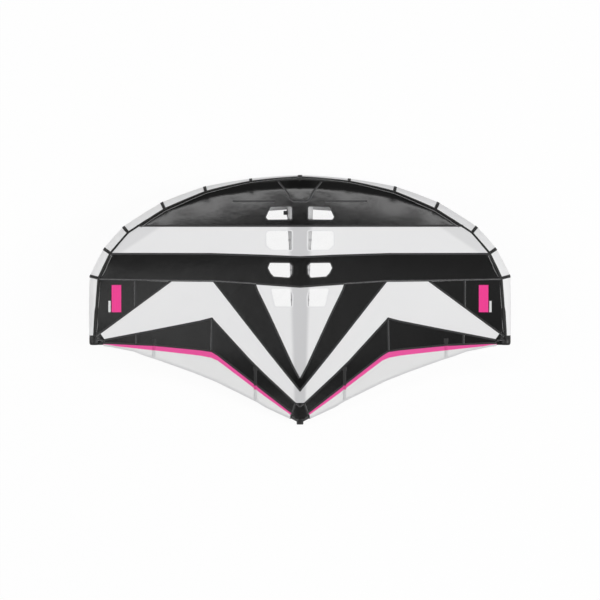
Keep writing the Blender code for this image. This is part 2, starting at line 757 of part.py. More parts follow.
def tip_caps():
    length = le_length(SLEEVE_END)
    radius = LE_AXIS[-1][2]
    for side, word in ((1, "right"), (-1, "left")):
        outer = [le_ring(SLEEVE_END + FIT_GAP / length + s * (1 - FIT_GAP / length), -drop * radius, side)
                 for s, drop in CAP_SHOULDERS]
        inner = [le_ring(SLEEVE_END + FIT_GAP / length + s * (1 - CAP_WALL / length * 1.5),
                         -drop * (radius - CAP_WALL) - CAP_WALL, side) for s, drop in CAP_SHOULDERS]
        bm = bmesh.new()
        outside = skin(bm, outer)
        within = skin(bm, inner)
        ring_wall(bm, outside[0], within[0])
        bm.faces.new(outside[-1])
        bm.faces.new(within[-1])
        finished("tip_cap_" + word, bm, BLACK_PLASTIC)


TAIL_CAP_START_SHARE = 0.963
TAIL_CAP_ROUND = ((0.985, 0), (0.993, 0.2), (0.998, 0.45), (1, 0.7))
SKID_WIDTH = 0.026
SKID_LENGTH = 0.044
SKID_HEIGHT = 0.014
SKID_END_SHARE = 0.995


def tail_cap():
    end = STRUT_SHARES[-1][0]
    wall = FIT_GAP + TAIL_CAP_WALL
    outer = [strut_ring(TAIL_CAP_START_SHARE, wall), strut_ring(end, wall)]
    outer += [strut_ring(v, wall - drop * TAIL_RADIUS) for v, drop in TAIL_CAP_ROUND]
    inner = [strut_ring(TAIL_CAP_START_SHARE, FIT_GAP), strut_ring(end, FIT_GAP)]
    inner += [strut_ring(end + FIT_GAP / CHORD, FIT_GAP)]
    bm = bmesh.new()
    outside = skin(bm, outer)
    within = skin(bm, inner)
    ring_wall(bm, outside[0], within[0])
    bm.faces.new(outside[-1])
    bm.faces.new(within[-1])
    cap = finished("strut_end_cap", bm, BLACK_PLASTIC)
    y = NOSE_Y - SKID_END_SHARE * CHORD
    skid = slab("skid_form", Vector((0, y + SKID_LENGTH / 2, 0)), SKID_LENGTH, SKID_WIDTH, SKID_HEIGHT,
                SKID_WIDTH / 4, BLACK_PLASTIC)
    boolean(skid, guide_solid("tail_form", strut_rings(FIT_GAP + TAIL_CAP_WALL / 2)))
    boolean(cap, skid, "UNION")


def slab(name, foot, length, width, thick, corner, finish, arc=4):
    """A plate with round corners, lying flat: foot is the middle of its underside."""
    rim = []
    for quarter, (sx, sy) in enumerate(((1, 1), (-1, 1), (-1, -1), (1, -1))):
        centre = foot + Vector((sx * (width / 2 - corner), sy * (length / 2 - corner), 0))
        for k in range(arc + 1):
            angle = (quarter + k / arc) * math.pi / 2
            rim.append(centre + Vector((math.cos(angle), math.sin(angle), 0)) * corner)
    up = Vector((0, 0, thick))
    return finished(name, solid_of([rim, [p + up for p in rim]]), finish, 30)


# Valve on the strut's left flank: flange and neck, a quarter turn insert with its flap, and a hinged plug
VALVE_SETBACK = 0.035951
VALVE_SHARE = (2 * LE_RADIUS + VALVE_SETBACK) / CHORD
FLANGE_RADIUS = 0.0325
FLANGE_PROUD = 0.0025
FLANGE_DEEP = 0.010
NECK_RADIUS = 0.015
NECK_BORE = 0.011
NECK_LENGTH = 0.022
NECK_INSIDE = 0.008
VALVE_REACH = 0.024
INSERT_WALL = 0.0024
INSERT_IN = 0.006
INSERT_SHORT = 0.004
SEAT_LIP = 0.0022
FLAP_THICK = 0.0012
PLUG_THICK = 0.0045
PLUG_BEVEL = 0.0014
PLUG_SKIRT = 0.0025
PLUG_SKIRT_WALL = 0.0018
HINGE_BACK = 0.0032
HINGE_LIFT = 0.0006
TAB_THICK = 0.0024
ARM_THICK = 0.00192
ARM_WIDTH = 0.00576
KNUCKLE_RADIUS = 0.0026
PIN_RADIUS = 0.0011
KNUCKLE_WIDTH = 0.006
CHEEK_WIDTH = 0.0022
TURNED_SIDES = 20

VALVE_Y = NOSE_Y - VALVE_SHARE * CHORD
VALVE_X = -strut_radius(VALVE_SHARE)
VALVE_Z = crest(VALVE_SHARE) - strut_radius(VALVE_SHARE)


def valve_ring(out, radius, sides=TURNED_SIDES):
    return [Vector((VALVE_X - out, VALVE_Y + radius * math.cos(k * math.tau / sides),
                    VALVE_Z + radius * math.sin(k * math.tau / sides))) for k in range(sides)]


def turned_disc(name, profile, finish):
    """A solid turned about the valve's axis, from (outward, radius) pairs with flat ends."""
    return finished(name, solid_of([valve_ring(out, radius) for out, radius in profile]), finish, 35)


def turned_ring(name, profile, finish):
    """A ring turned about the valve's axis, from a closed profile."""
    bm = bmesh.new()
    rows = [[bm.verts.new(p) for p in valve_ring(out, radius)] for out, radius in profile]
    for near, far in zip(rows, rows[1:] + rows[:1]):
        for k in range(TURNED_SIDES):
            after = (k + 1) % TURNED_SIDES
            bm.faces.new((near[k], near[after], far[after], far[k]))
    return finished(name, bm, finish, 35)


def valve_hole():
    return as_cutter(turned_disc("valve_hole", [(-VALVE_REACH, NECK_RADIUS + FIT_GAP),
                                                (NECK_INSIDE, NECK_RADIUS + FIT_GAP)], BLACK_PLASTIC))


def origin_at(made, point):
    made.data.transform(Matrix.Translation(-point))
    made.location = point


def valve():
    body = turned_ring("valve_body", [(-NECK_INSIDE, NECK_BORE), (-NECK_INSIDE, NECK_RADIUS),
                                      (NECK_LENGTH, NECK_RADIUS), (NECK_LENGTH, NECK_BORE)], BLACK_PLASTIC)
    hinge = Vector((VALVE_X - NECK_LENGTH + HINGE_BACK, VALVE_Y,
                    VALVE_Z + NECK_RADIUS + KNUCKLE_RADIUS + HINGE_LIFT))
    for sign in (1, -1):
        inner_face = sign * (KNUCKLE_WIDTH / 2 + FIT_GAP)
        low = Vector((hinge.x + KNUCKLE_RADIUS, VALVE_Y + inner_face,
                      VALVE_Z + (NECK_BORE + 2 * NECK_RADIUS) / 3))
        high = Vector((hinge.x - KNUCKLE_RADIUS, VALVE_Y + inner_face + sign * CHEEK_WIDTH,
                       hinge.z + KNUCKLE_RADIUS))
        boolean(body, box(f"cheek_form_{sign}", low, high), "UNION")
    half_pin = Vector((0, KNUCKLE_WIDTH / 2 + CHEEK_WIDTH / 2, 0))
    boolean(body, rod("pin_form", hinge - half_pin, hinge + half_pin, PIN_RADIUS, sides=12), "UNION")
    middle = (NECK_BORE + NECK_RADIUS) / 2
    flange = turned_ring("flange_form", [(-FLANGE_DEEP, middle), (-FLANGE_DEEP, FLANGE_RADIUS),
                                         (FLANGE_PROUD / 2, FLANGE_RADIUS),
                                         (FLANGE_PROUD, FLANGE_RADIUS - FLANGE_PROUD),
                                         (FLANGE_PROUD, middle)], BLACK_PLASTIC)
    boolean(flange, guide_solid("strut_form", strut_rings(FIT_GAP, STRUT_SHARES[:3])))
    boolean(body, flange, "UNION")

    outer = NECK_BORE - FIT_GAP
    bore = outer - INSERT_WALL
    insert = turned_ring("valve_insert", [(-INSERT_IN, bore - SEAT_LIP), (-INSERT_IN, outer),
                                          (NECK_LENGTH - INSERT_SHORT, outer),
                                          (NECK_LENGTH - INSERT_SHORT, bore),
                                          (-INSERT_IN + INSERT_WALL, bore),
                                          (-INSERT_IN + INSERT_WALL, bore - SEAT_LIP)], BLACK_PLASTIC)
    origin_at(insert, Vector((VALVE_X, VALVE_Y, VALVE_Z)))
    flap_radius = bore - FIT_GAP
    face = -INSERT_IN - FIT_GAP
    flap = turned_disc("valve_flap", [(face - FLAP_THICK, flap_radius), (face, flap_radius)], GREY_FLAP)
    origin_at(flap, Vector((VALVE_X - face, VALVE_Y, VALVE_Z + flap_radius)))

    seat = NECK_LENGTH + FIT_GAP
    plug = turned_disc("valve_plug", [(seat, NECK_RADIUS), (seat + PLUG_THICK - PLUG_BEVEL, NECK_RADIUS),
                                      (seat + PLUG_THICK, NECK_RADIUS - PLUG_BEVEL)], BLACK_PLASTIC)
    skirt = outer - INSERT_WALL / 4
    boolean(plug, turned_ring("skirt_form", [(seat - PLUG_SKIRT, skirt - PLUG_SKIRT_WALL),
                                             (seat - PLUG_SKIRT, skirt), (seat + PLUG_SKIRT, skirt),
                                             (seat + PLUG_SKIRT, skirt - PLUG_SKIRT_WALL)], BLACK_PLASTIC),
            "UNION")
    half = Vector((0, KNUCKLE_WIDTH / 2, 0))
    boolean(plug, rod("knuckle_form", hinge - half, hinge + half, KNUCKLE_RADIUS), "UNION")
    side = Vector((0, KNUCKLE_WIDTH / 2, 0))
    low = Vector((VALVE_X - seat - FIT_GAP, VALVE_Y, VALVE_Z + NECK_BORE))
    high = Vector((VALVE_X - seat - TAB_THICK, VALVE_Y, hinge.z + TAB_THICK / 3))
    boolean(plug, box("tab_form", low - side, high + side), "UNION")
    low = Vector((hinge.x, VALVE_Y, hinge.z - TAB_THICK / 2))
    high = Vector((VALVE_X - seat - ARM_THICK, VALVE_Y, hinge.z + TAB_THICK / 2))
    side = Vector((0, ARM_WIDTH / 2, 0))
    boolean(plug, box("arm_form", low - side, high + side), "UNION")
    boolean(plug, rod("pin_bore", hinge - 2 * half, hinge + 2 * half, PIN_RADIUS + FIT_GAP, sides=12))
    origin_at(plug, hinge)


def box(name, low, high):
    """A plain block between two opposite corners, for joining to a moulding."""
    ends = []
    for x in (low.x, high.x):
        ends.append([Vector((x, low.y, low.z)), Vector((x, high.y, low.z)),
                     Vector((x, high.y, high.z)), Vector((x, low.y, high.z))])
    return finished(name, solid_of(ends), BLACK_PLASTIC)


# Handles: a moulded bar on two feet, each foot screwed up into a base plate on the strut
HANDLE_SHARES = (("front", 0.300), ("rear", 0.560))
HANDLE_LENGTH = 0.200
HAND_GAP = 0.050
BAR_RADIUS = 0.014
BAR_FLARE_SHARE = 1.2
BAR_BEND = 0.030
BEND_STEPS = 4
FOOT_LENGTH = 0.058
FOOT_WIDTH = 0.036
FOOT_THICK = 0.006
FOOT_CORNER = 0.0144
FOOT_OUT = 0.010
PLATE_LENGTH = 0.078
PLATE_WIDTH = 0.052
PLATE_THICK = 0.006
PLATE_CORNER = PLATE_WIDTH / 3
SCREW_RADIUS = 0.0028
SCREW_HEAD_RADIUS = 0.0050
SCREW_HEAD = 0.0035
SCREW_BITE = 0.0045
SCREW_OUT = 0.027
KEY_RADIUS = 0.0026
KEY_DEPTH = 0.002
GRIP_THICK = 0.0035
GRIP_RIB = 0.0012
GRIP_RIBS = 3
BAR_SIDES = 12


def swept(name, path, radii, finish):
    """A round bar along a path that lies in the middle plane, with its own radius at each point."""
    rings = []
    for i, point in enumerate(path):
        before = path[max(i - 1, 0)]
        after = path[min(i + 1, len(path) - 1)]
        along = (after - before).normalized()
        across = Vector((1, 0, 0))
        other = along.cross(across)
        rings.append([point + (across * math.cos(k * math.tau / BAR_SIDES)
                               + other * math.sin(k * math.tau / BAR_SIDES)) * radii[i]
                      for k in range(BAR_SIDES)])
    return finished(name, solid_of(rings), finish)


def handle(word, share):
    middle = NOSE_Y - share * CHORD
    feet = []
    for sign in (1, -1):
        y = middle + sign * (HANDLE_LENGTH / 2)
        out = y + sign * FOOT_OUT
        ends = [out - PLATE_LENGTH / 2, out + PLATE_LENGTH / 2]
        low = min(strut_floor((NOSE_Y - e) / CHORD) for e in ends) - PLATE_THICK
        feet.append((sign, y, out, low))
    bar_z = min(low for _, _, _, low in feet) - HAND_GAP - BAR_RADIUS
    path = []
    for sign, y, _, low in feet:
        top = Vector((0, y, low - 2 * FIT_GAP - FOOT_THICK / 2))
        corner = Vector((0, y - sign * BAR_BEND, bar_z + BAR_BEND))
        leg = [top, top.lerp(Vector((0, y, bar_z + BAR_BEND)), 0.5)]
        for k in range(BEND_STEPS + 1):
            angle = k / BEND_STEPS * math.pi / 2
            leg.append(corner + Vector((0, sign * math.cos(angle), -math.sin(angle))) * BAR_BEND)
        path = path + leg if sign > 0 else path + leg[::-1]
    flare = [BAR_FLARE_SHARE] + [1] * (BEND_STEPS + 2)
    bar = swept(f"{word}_handle_bar", path, [BAR_RADIUS * f for f in flare + flare[::-1]], BLACK_PLASTIC)
    for sign, y, out, low in feet:
        tag = f"{word}_{'a' if sign > 0 else 'b'}"
        base = low - FIT_GAP - FOOT_THICK
        foot = slab(f"{tag}_foot_form", Vector((0, out, base)), FOOT_LENGTH, FOOT_WIDTH, FOOT_THICK,
                    FOOT_CORNER, BLACK_PLASTIC)
        boolean(bar, foot, "UNION")
        hole_y = y + sign * SCREW_OUT
        shank_low = Vector((0, hole_y, base - SCREW_HEAD))
        shank_high = Vector((0, hole_y, low + SCREW_BITE))
        past = Vector((0, 0, FIT_GAP))
        hole = rod(f"{tag}_screw_hole", shank_low, shank_high + past, SCREW_RADIUS + FIT_GAP, sides=12)
        boolean(bar, hole)
        plate = slab(f"{word}_base_plate_{'front' if sign > 0 else 'rear'}", Vector((0, out, low)),
                     PLATE_LENGTH, PLATE_WIDTH, STRUT_RADIUS / 3, PLATE_CORNER, BLACK_PLASTIC)
        boolean(plate, guide_solid(f"{tag}_strut_form", strut_rings(FIT_GAP)))
        boolean(plate, hole)
        screw = rod(f"{word}_screw_{'front' if sign > 0 else 'rear'}", shank_low, shank_high, SCREW_RADIUS,
                    STEEL, 12)
        head_top = Vector((0, hole_y, base - FIT_GAP))
        head_low = head_top - Vector((0, 0, SCREW_HEAD))
        boolean(screw, rod(f"{tag}_head_form", head_low, head_top, SCREW_HEAD_RADIUS, STEEL), "UNION")
        key = rod(f"{tag}_key_form", head_low - past, head_low + Vector((0, 0, KEY_DEPTH)), KEY_RADIUS, STEEL, 6)
        boolean(screw, key)
    start = middle + HANDLE_LENGTH / 2 - BAR_BEND - BAR_RADIUS / 2
    grip_length = HANDLE_LENGTH - 2 * BAR_BEND - BAR_RADIUS
    outer = [(0, GRIP_THICK / 2)]
    for k in range(GRIP_RIBS):
        for step, proud in ((0.1, 0), (0.25, GRIP_RIB), (0.75, GRIP_RIB), (0.9, 0)):
            outer.append(((k + step) / GRIP_RIBS, GRIP_THICK - GRIP_RIB + proud))
    outer.append((1, GRIP_THICK / 2))

    def grip_ring(share_along, proud):
        y = start - share_along * grip_length
        radius = BAR_RADIUS + FIT_GAP + proud
        return [Vector((radius * math.cos(k * math.tau / BAR_SIDES), y,
                        bar_z + radius * math.sin(k * math.tau / BAR_SIDES))) for k in range(BAR_SIDES)]
    tube(f"{word}_grip", [grip_ring(s, proud) for s, proud in outer], [grip_ring(0, 0), grip_ring(1, 0)],
         SOFT_GRIP)


# Webbing: a strap under the leading edge to hold the wing by, and the leash loop under the strut
STRAP_HALF_LENGTH = 0.130
STRAP_WIDTH = 0.036
STRAP_THICK = 0.004
STRAP_GAP = 0.016
STRAP_ANGLE = -2.5 * LE_STEP
STRAP_CELLS = 14
STRAP_RAISED_SHARE = 0.82
STRAP_FULLNESS_SHARE = 0.6
LOOP_WIDTH = 0.025
LOOP_CLEAR = 0.025804
LOOP_DROP = 0.030
LOOP_HALF = 0.016
LOOP_THICK = 0.003
LOOP_STEPS = 8
# The loop is sewn on just ahead of the front handle's base plate.
LOOP_SHARE = HANDLE_SHARES[0][1] - (HANDLE_LENGTH / 2 + FOOT_OUT + PLATE_LENGTH / 2 + LOOP_CLEAR
                                    + LOOP_WIDTH / 2) / CHORD


def hand_strap():
    reach = STRAP_HALF_LENGTH / le_length(0)
    cells = []
    for i in range(STRAP_CELLS):
        for j in range(2):
            cells.append([(i, j), (i + 1, j), (i + 1, j + 1), (i, j + 1)])

    def place(key, thick):
        i, j = key
        share = 2 * i / STRAP_CELLS - 1
        bow = math.cos(min(abs(share) / STRAP_RAISED_SHARE, 1) * math.pi / 2)
        rise = bow ** STRAP_FULLNESS_SHARE * STRAP_GAP
        angle = STRAP_ANGLE + (j - 1) * STRAP_WIDTH / 2 / LE_RADIUS
        return le_point(abs(share) * reach, angle, FIT_GAP + rise + thick, 1 if share >= 0 else -1)
    cells_to_solid("hand_strap", cells, lambda key: place(key, STRAP_THICK), lambda key: place(key, 0), TAPE)


def leash_loop():
    top = min(strut_floor(LOOP_SHARE - LOOP_WIDTH / 2 / CHORD), strut_floor(LOOP_SHARE + LOOP_WIDTH / 2 / CHORD))
    y = NOSE_Y - LOOP_SHARE * CHORD

    def outline(shrink, lift):
        radius = LOOP_HALF - shrink
        drop = top - FIT_GAP - LOOP_DROP + LOOP_HALF
        angles = [math.pi * (1 + k / LOOP_STEPS) for k in range(LOOP_STEPS + 1)]
        ring = [Vector((radius * math.cos(a), 0, drop + radius * math.sin(a))) for a in angles]
        up = top - FIT_GAP - lift
        return ring + [Vector((radius, 0, up)), Vector((-radius, 0, up))]
    half = Vector((0, LOOP_WIDTH / 2, 0))
    middle = Vector((0, y, 0))
    bm = bmesh.new()
    outer = skin(bm, [[p + middle + half for p in outline(0, 0)], [p + middle - half for p in outline(0, 0)]])
    inner = skin(bm, [[p + middle + half for p in outline(LOOP_THICK, LOOP_THICK)],
                      [p + middle - half for p in outline(LOOP_THICK, LOOP_THICK)]])
    ring_wall(bm, outer[0], inner[0])
    ring_wall(bm, outer[1], inner[1])
    finished("leash_loop", bm, TAPE)


# Zip under the strut, and its slider
ZIP_SHARES = (0.765, 0.855)
ZIP_WIDTH = 0.008
ZIP_THICK = 0.0022
SLIDER_LENGTH = 0.014
SLIDER_WIDTH = 0.011
SLIDER_THICK = 0.003
PULL_LENGTH = 0.024
PULL_THICK = 0.0014


def zip_line():
    ends = [Vector((0, NOSE_Y - v * CHORD, strut_floor(v))) for v in ZIP_SHARES]
    return ends[0], ends[1], (ends[1] - ends[0]).normalized()


def along_zip(name, profile, width, finish):
    """A side profile, in lengths back from the zip's front end and down from the strut, made wide."""
    start, _, back = zip_line()
    down = Vector((1, 0, 0)).cross(back)
    down = down if down.z < 0 else -down
    faces = []
    for x in (-width / 2, width / 2):
        faces.append([start + back * a + down * d + Vector((x, 0, 0)) for a, d in profile])
    return finished(name, solid_of(faces), finish)


def strut_zip():
    start, end, _ = zip_line()
    length = (end - start).length
    along_zip("zip_chain", [(0, FIT_GAP), (length, FIT_GAP), (length, FIT_GAP + ZIP_THICK),
                            (0, FIT_GAP + ZIP_THICK)], ZIP_WIDTH, BLACK_PLASTIC)
    top = 2 * FIT_GAP + ZIP_THICK
    low = top + SLIDER_THICK
    profile = [(0, top), (SLIDER_LENGTH, top), (SLIDER_LENGTH + PULL_LENGTH, low - PULL_THICK),
               (SLIDER_LENGTH + PULL_LENGTH, low), (SLIDER_LENGTH, low), (0, low - SLIDER_THICK / 3)]
    slider = along_zip("zip_slider", profile, SLIDER_WIDTH, STEEL)
    origin_at(slider, start)


# Battens lie on the canopy across the trailing seams, from their front end to near the free edge.
BATTEN_SHARES = (("outer", 0.695, 0.658, 0.729), ("inner", 0.213, 0.772, 0.899))
BATTEN_WIDTH = 0.012
BATTEN_THICK = 0.0025
BATTEN_STEP = 0.025
BATTEN_GAP = 0.0005


def canopy_tree():
    points = []
    faces = []
    for made in bpy.context.scene.objects:
        if made.name in CANOPY_NAMES:
            base = len(points)
            points += [v.co.copy() for v in made.data.vertices]
            faces += [[base + c for c in p.vertices] for p in made.data.polygons]
    return BVHTree.FromPolygons(points, faces)


def battens():
    tree = canopy_tree()
    for side, side_word in ((1, "right"), (-1, "left")):
        for word, u, front, rear in BATTEN_SHARES:
            a = plan(u, front, side)
            b = plan(u, rear, side)
            count = math.ceil((b - a).length / BATTEN_STEP)
            cells = [[(i, 0), (i + 1, 0), (i + 1, 1), (i, 1)] for i in range(count)]

            def place(key, lift):
                i, j = key
                spot = a.lerp(b, i / count) + Vector(((j - 0.5) * BATTEN_WIDTH, 0, 0))
                hit = tree.ray_cast(Vector((spot.x, spot.y, HIGH)), Vector((0, 0, -1)))[0]
                return Vector((spot.x, spot.y, hit.z + BATTEN_GAP + lift))
            cells_to_solid(f"{word}_batten_{side_word}", cells, lambda key: place(key, BATTEN_THICK),
                           lambda key: place(key, 0), BLACK_PLASTIC)


CANOPY_NAMES = {made.name for made in bpy.context.scene.objects}
battens()
tubes()
seam_tape()
tip_caps()
tail_cap()
valve()
for handle_word, handle_share in HANDLE_SHARES:
    handle(handle_word, handle_share)
hand_strap()
leash_loop()
strut_zip()
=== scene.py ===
# A wingfoil wing, blown up hard and laid on a pale floor with its canopy up.
import json
import math

import bmesh
import bpy
import numpy as np
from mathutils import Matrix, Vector
from mathutils.bvhtree import BVHTree

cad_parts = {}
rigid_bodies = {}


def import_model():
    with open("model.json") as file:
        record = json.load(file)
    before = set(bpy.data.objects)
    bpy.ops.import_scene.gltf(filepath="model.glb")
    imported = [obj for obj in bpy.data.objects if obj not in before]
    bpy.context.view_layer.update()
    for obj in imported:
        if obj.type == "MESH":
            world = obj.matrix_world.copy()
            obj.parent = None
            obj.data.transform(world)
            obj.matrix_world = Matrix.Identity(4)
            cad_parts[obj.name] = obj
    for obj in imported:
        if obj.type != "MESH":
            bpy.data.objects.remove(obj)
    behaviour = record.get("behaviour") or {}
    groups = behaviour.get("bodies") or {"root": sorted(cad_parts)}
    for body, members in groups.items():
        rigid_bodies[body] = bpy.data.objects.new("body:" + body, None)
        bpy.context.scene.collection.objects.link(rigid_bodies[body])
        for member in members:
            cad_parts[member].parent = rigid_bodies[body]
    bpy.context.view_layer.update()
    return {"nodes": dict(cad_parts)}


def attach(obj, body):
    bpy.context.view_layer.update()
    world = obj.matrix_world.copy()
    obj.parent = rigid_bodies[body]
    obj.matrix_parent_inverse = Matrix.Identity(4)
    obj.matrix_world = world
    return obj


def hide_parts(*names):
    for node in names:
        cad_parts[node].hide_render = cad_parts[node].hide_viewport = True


for old in list(bpy.data.objects):
    bpy.data.objects.remove(old, do_unlink=True)
bpy.context.scene.view_settings.view_transform = "Standard"
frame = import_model()
nodes = frame["nodes"]

# The camera hangs over the middle of the wing and looks straight down through a long lens,
# with the leading edge at the top of the picture.
CAMERA_HEIGHT = 34.0
METRES_ACROSS = 4.32
AIM_HEIGHT = 0.18
CAMERA_REACH = 80
camera_lens = bpy.data.cameras.new("camera")
camera_lens.lens = camera_lens.sensor_width * (CAMERA_HEIGHT - AIM_HEIGHT) / METRES_ACROSS
camera_lens.clip_end = CAMERA_REACH
camera = bpy.data.objects.new("camera", camera_lens)
camera.location = (0, 0, CAMERA_HEIGHT)
bpy.context.scene.collection.objects.link(camera)
bpy.context.scene.camera = camera

# Leading edge: two sleeve halves of white polyester sailcloth, cut in straight tapered segments
# and sewn end to end, held round by the bladder inside. The cloth puckers at each seam.
SPAN = 3.018
CHORD = 1.801
LE_RADIUS = 0.118
TIP_RISE = 0.234
HALF_SPAN = SPAN / 2
NOSE_Y = (CHORD - 0.0017) / 2
LE_SHARES = (
    (0, 0, 1, 0),
    (0.236, 0.014, 1, 0),
    (0.456, 0.046, 0.932, 0.09),
    (0.660, 0.110, 0.847, 0.285),
    (0.841, 0.2075, 0.729, 0.58),
    (0.932, 0.2953, 0.627, 0.77),
    (0.998, 0.4042, 0.525, 0.90),
    (1, 0.6405, 0.322, 0.985),
    (1, 0.679, 0.300, 1),
)
SLEEVE_END = 7
LE_SIDES = 64
SEGMENT_ROWS = 22
SEGMENT_SWELL = 0.0042
SWELL_FULLNESS = 0.6
SEAM_PUCKER = 0.0007
SEAM_PUCKERS = 23
PUCKER_REACH = 0.030
PUCKER_SHIFT = 5
UNDER_EASE = 1.1
WEAVE_PITCH = 0.0016


class Number:
    """One number in a finish. Arithmetic on it adds Math nodes."""

    def __init__(self, finish, socket):
        self.finish = finish
        self.socket = socket

    def maths(self, operation, *values, clamp=False):
        made = self.finish.node("ShaderNodeMath", {"operation": operation, "use_clamp": clamp},
                                dict(enumerate(values)))
        return Number(self.finish, made.outputs[0])

    def __add__(self, other):
        return self.maths("ADD", self, other)

    def __sub__(self, other):
        return self.maths("SUBTRACT", self, other)

    def __rsub__(self, other):
        return self.maths("SUBTRACT", other, self)

    def __mul__(self, other):
        return self.maths("MULTIPLY", self, other)

    def __truediv__(self, other):
        return self.maths("DIVIDE", self, other)

    def __lt__(self, other):
        return self.maths("LESS_THAN", self, other)

    def __gt__(self, other):
        return self.maths("GREATER_THAN", self, other)

    def __abs__(self):
        return self.maths("ABSOLUTE", self)

    __radd__ = __add__
    __rmul__ = __mul__

    def high(self, other):
        return self.maths("MAXIMUM", self, other)

    def low(self, other):
        return self.maths("MINIMUM", self, other)

    def wave(self, pitch):
        """0 at each multiple of the pitch, 1 half way between."""
        return self.maths("PINGPONG", self, pitch / 2) / (pitch / 2)

    def ramp(self, start, end):
        """0 at start and before, 1 at end and beyond, with a soft change between."""
        made = self.finish.node("ShaderNodeMapRange", {"interpolation_type": "SMOOTHSTEP"},
                                {"Value": self, "From Min": start, "From Max": end})
        return Number(self.finish, made.outputs[0])


class Finish:
    """A material under the hand: nodes are added to it one by one."""

    def __init__(self, name, **shader):
        self.material = bpy.data.materials.new(name)
        self.material.use_nodes = True
        self.tree = self.material.node_tree
        self.shader = self.tree.nodes["Principled BSDF"]
        self.feed(self.shader, {k.replace("_", " "): v for k, v in shader.items()})

    def feed(self, made, values):
        for key, value in values.items():
            socket = made.inputs[key]
            value = value.socket if isinstance(value, Number) else value
            if isinstance(value, bpy.types.NodeSocket):
                self.tree.links.new(value, socket)
            elif socket.type == "RGBA":
                socket.default_value = (*value, 1)
            else:
                socket.default_value = value

    def node(self, kind, settings=None, values=None):
        made = self.tree.nodes.new(kind)
        for key, value in (settings or {}).items():
            setattr(made, key, value)
        self.feed(made, values or {})
        return made

    def spot(self):
        """The piece's own coordinates in metres, as a vector."""
        return self.node("ShaderNodeTexCoord").outputs["Object"]

    def place(self):
        """The piece's own coordinates in metres, as three numbers and as a vector."""
        spot = self.spot()
        parts = self.node("ShaderNodeSeparateXYZ", None, {"Vector": spot}).outputs
        return Number(self, parts[0]), Number(self, parts[1]), Number(self, parts[2]), spot

    def along(self):
        """Metres along a strip and across it, from its UV map."""
        spot = self.node("ShaderNodeUVMap").outputs["UV"]
        parts = self.node("ShaderNodeSeparateXYZ", None, {"Vector": spot}).outputs
        return Number(self, parts[0]), Number(self, parts[1])

    def clouds(self, spot, size, detail=2.0, rough=0.5):
        """Noise from 0 to 1 with patches of about a size in metres."""
        made = self.node("ShaderNodeTexNoise", None,
                         {"Vector": spot, "Scale": 1 / size, "Detail": detail, "Roughness": rough})
        return Number(self, made.outputs[0])

    def mix(self, share, first, second):
        made = self.node("ShaderNodeMix", {"data_type": "RGBA"}, {0: share, 6: first, 7: second})
        return made.outputs[2]

    def bump(self, relief, depth, under=None):
        """A bump of a real depth in metres. It can lie over another."""
        values = {"Height": relief, "Distance": depth, "Strength": 1.0}
        if under:
            values["Normal"] = under
        return self.node("ShaderNodeBump", None, values).outputs[0]


def leading_axis():
    """Centre, mitre direction, radius and height at each seam, from the outer outline in plan."""
    outline = [Vector((u * HALF_SPAN, NOSE_Y - v * CHORD, 0)) for u, v, _, _ in LE_SHARES]
    before = Vector((-outline[1].x, outline[1].y, 0))
    axis = []
    for i, point in enumerate(outline):
        into = (point - before).normalized()
        away = (outline[i + 1] - point).normalized() if i + 1 < len(outline) else into
        mitre = (Vector((-into.y, into.x, 0)) + Vector((-away.y, away.x, 0))).normalized()
        stretch = 1 / mitre.dot(Vector((-away.y, away.x, 0)))
        radius = LE_SHARES[i][2] * LE_RADIUS
        axis.append((point - mitre * radius * stretch, mitre * stretch, radius,
                     LE_RADIUS + LE_SHARES[i][3] * TIP_RISE))
        before = point
    return axis


LE_AXIS = leading_axis()


def le_corner(index, angle, proud):
    centre, mitre, radius, height = LE_AXIS[index]
    reach = radius + proud
    return centre + mitre * reach * math.cos(angle) + Vector((0, 0, height + reach * math.sin(angle)))


def le_point(station, angle, proud=0.0, side=1):
    """A point on the leading edge by its seam number and its angle above the outward side."""
    index = min(int(station), len(LE_AXIS) - 2)
    point = le_corner(index, angle, proud).lerp(le_corner(index + 1, angle, proud), station - index)
    return Vector((side * point.x, point.y, point.z))


def le_length(index):
    return (LE_AXIS[index + 1][0] - LE_AXIS[index][0]).length


def le_swell(station, angle):
    """How far the blown-up cloth stands out between seams, with the puckers beside each seam."""
    index = min(int(station), SLEEVE_END - 1)
    share = station - index
    near = min(share, 1 - share) * le_length(index)
    full = SEGMENT_SWELL * math.sin(math.pi * share) ** SWELL_FULLNESS if 0 < share < 1 else 0
    fold = math.sin(SEAM_PUCKERS * angle + PUCKER_SHIFT * round(station))
    pucker = SEAM_PUCKER * math.exp(-near / PUCKER_REACH) * fold
    return (full + pucker) * min(1, UNDER_EASE + math.sin(angle))


def placed(name, bm, finish):
    mesh = bpy.data.meshes.new(name)
    bm.to_mesh(mesh)
    bm.free()
    mesh.shade_smooth()
    mesh.materials.append(finish.material)
    made = bpy.data.objects.new(name, mesh)
    bpy.context.scene.collection.objects.link(made)
    return made


def walls(bm, rings, back=False):
    """Faces from each ring of points to the next, and from the last back to the first if asked."""
    rows = [[bm.verts.new(p) for p in ring] for ring in rings]
    for near, far in zip(rows, rows[1:] + rows[:1] if back else rows[1:]):
        for k in range(len(near)):
            after = (k + 1) % len(near)
            bm.faces.new((near[k], near[after], far[after], far[k]))
    return rows


def lofted(name, rings, finish):
    """A smooth skin through rings of points, open at both ends."""
    bm = bmesh.new()
    walls(bm, rings)
    bmesh.ops.recalc_face_normals(bm, faces=bm.faces)
    return placed(name, bm, finish)


def fitted(made, slot, *solids, body="wing"):
    """Hides the solids that a piece stands for and puts it on the body that it rides on; the slot is not
    used.
    """
    if solids:
        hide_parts(*solids)
    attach(made, body)


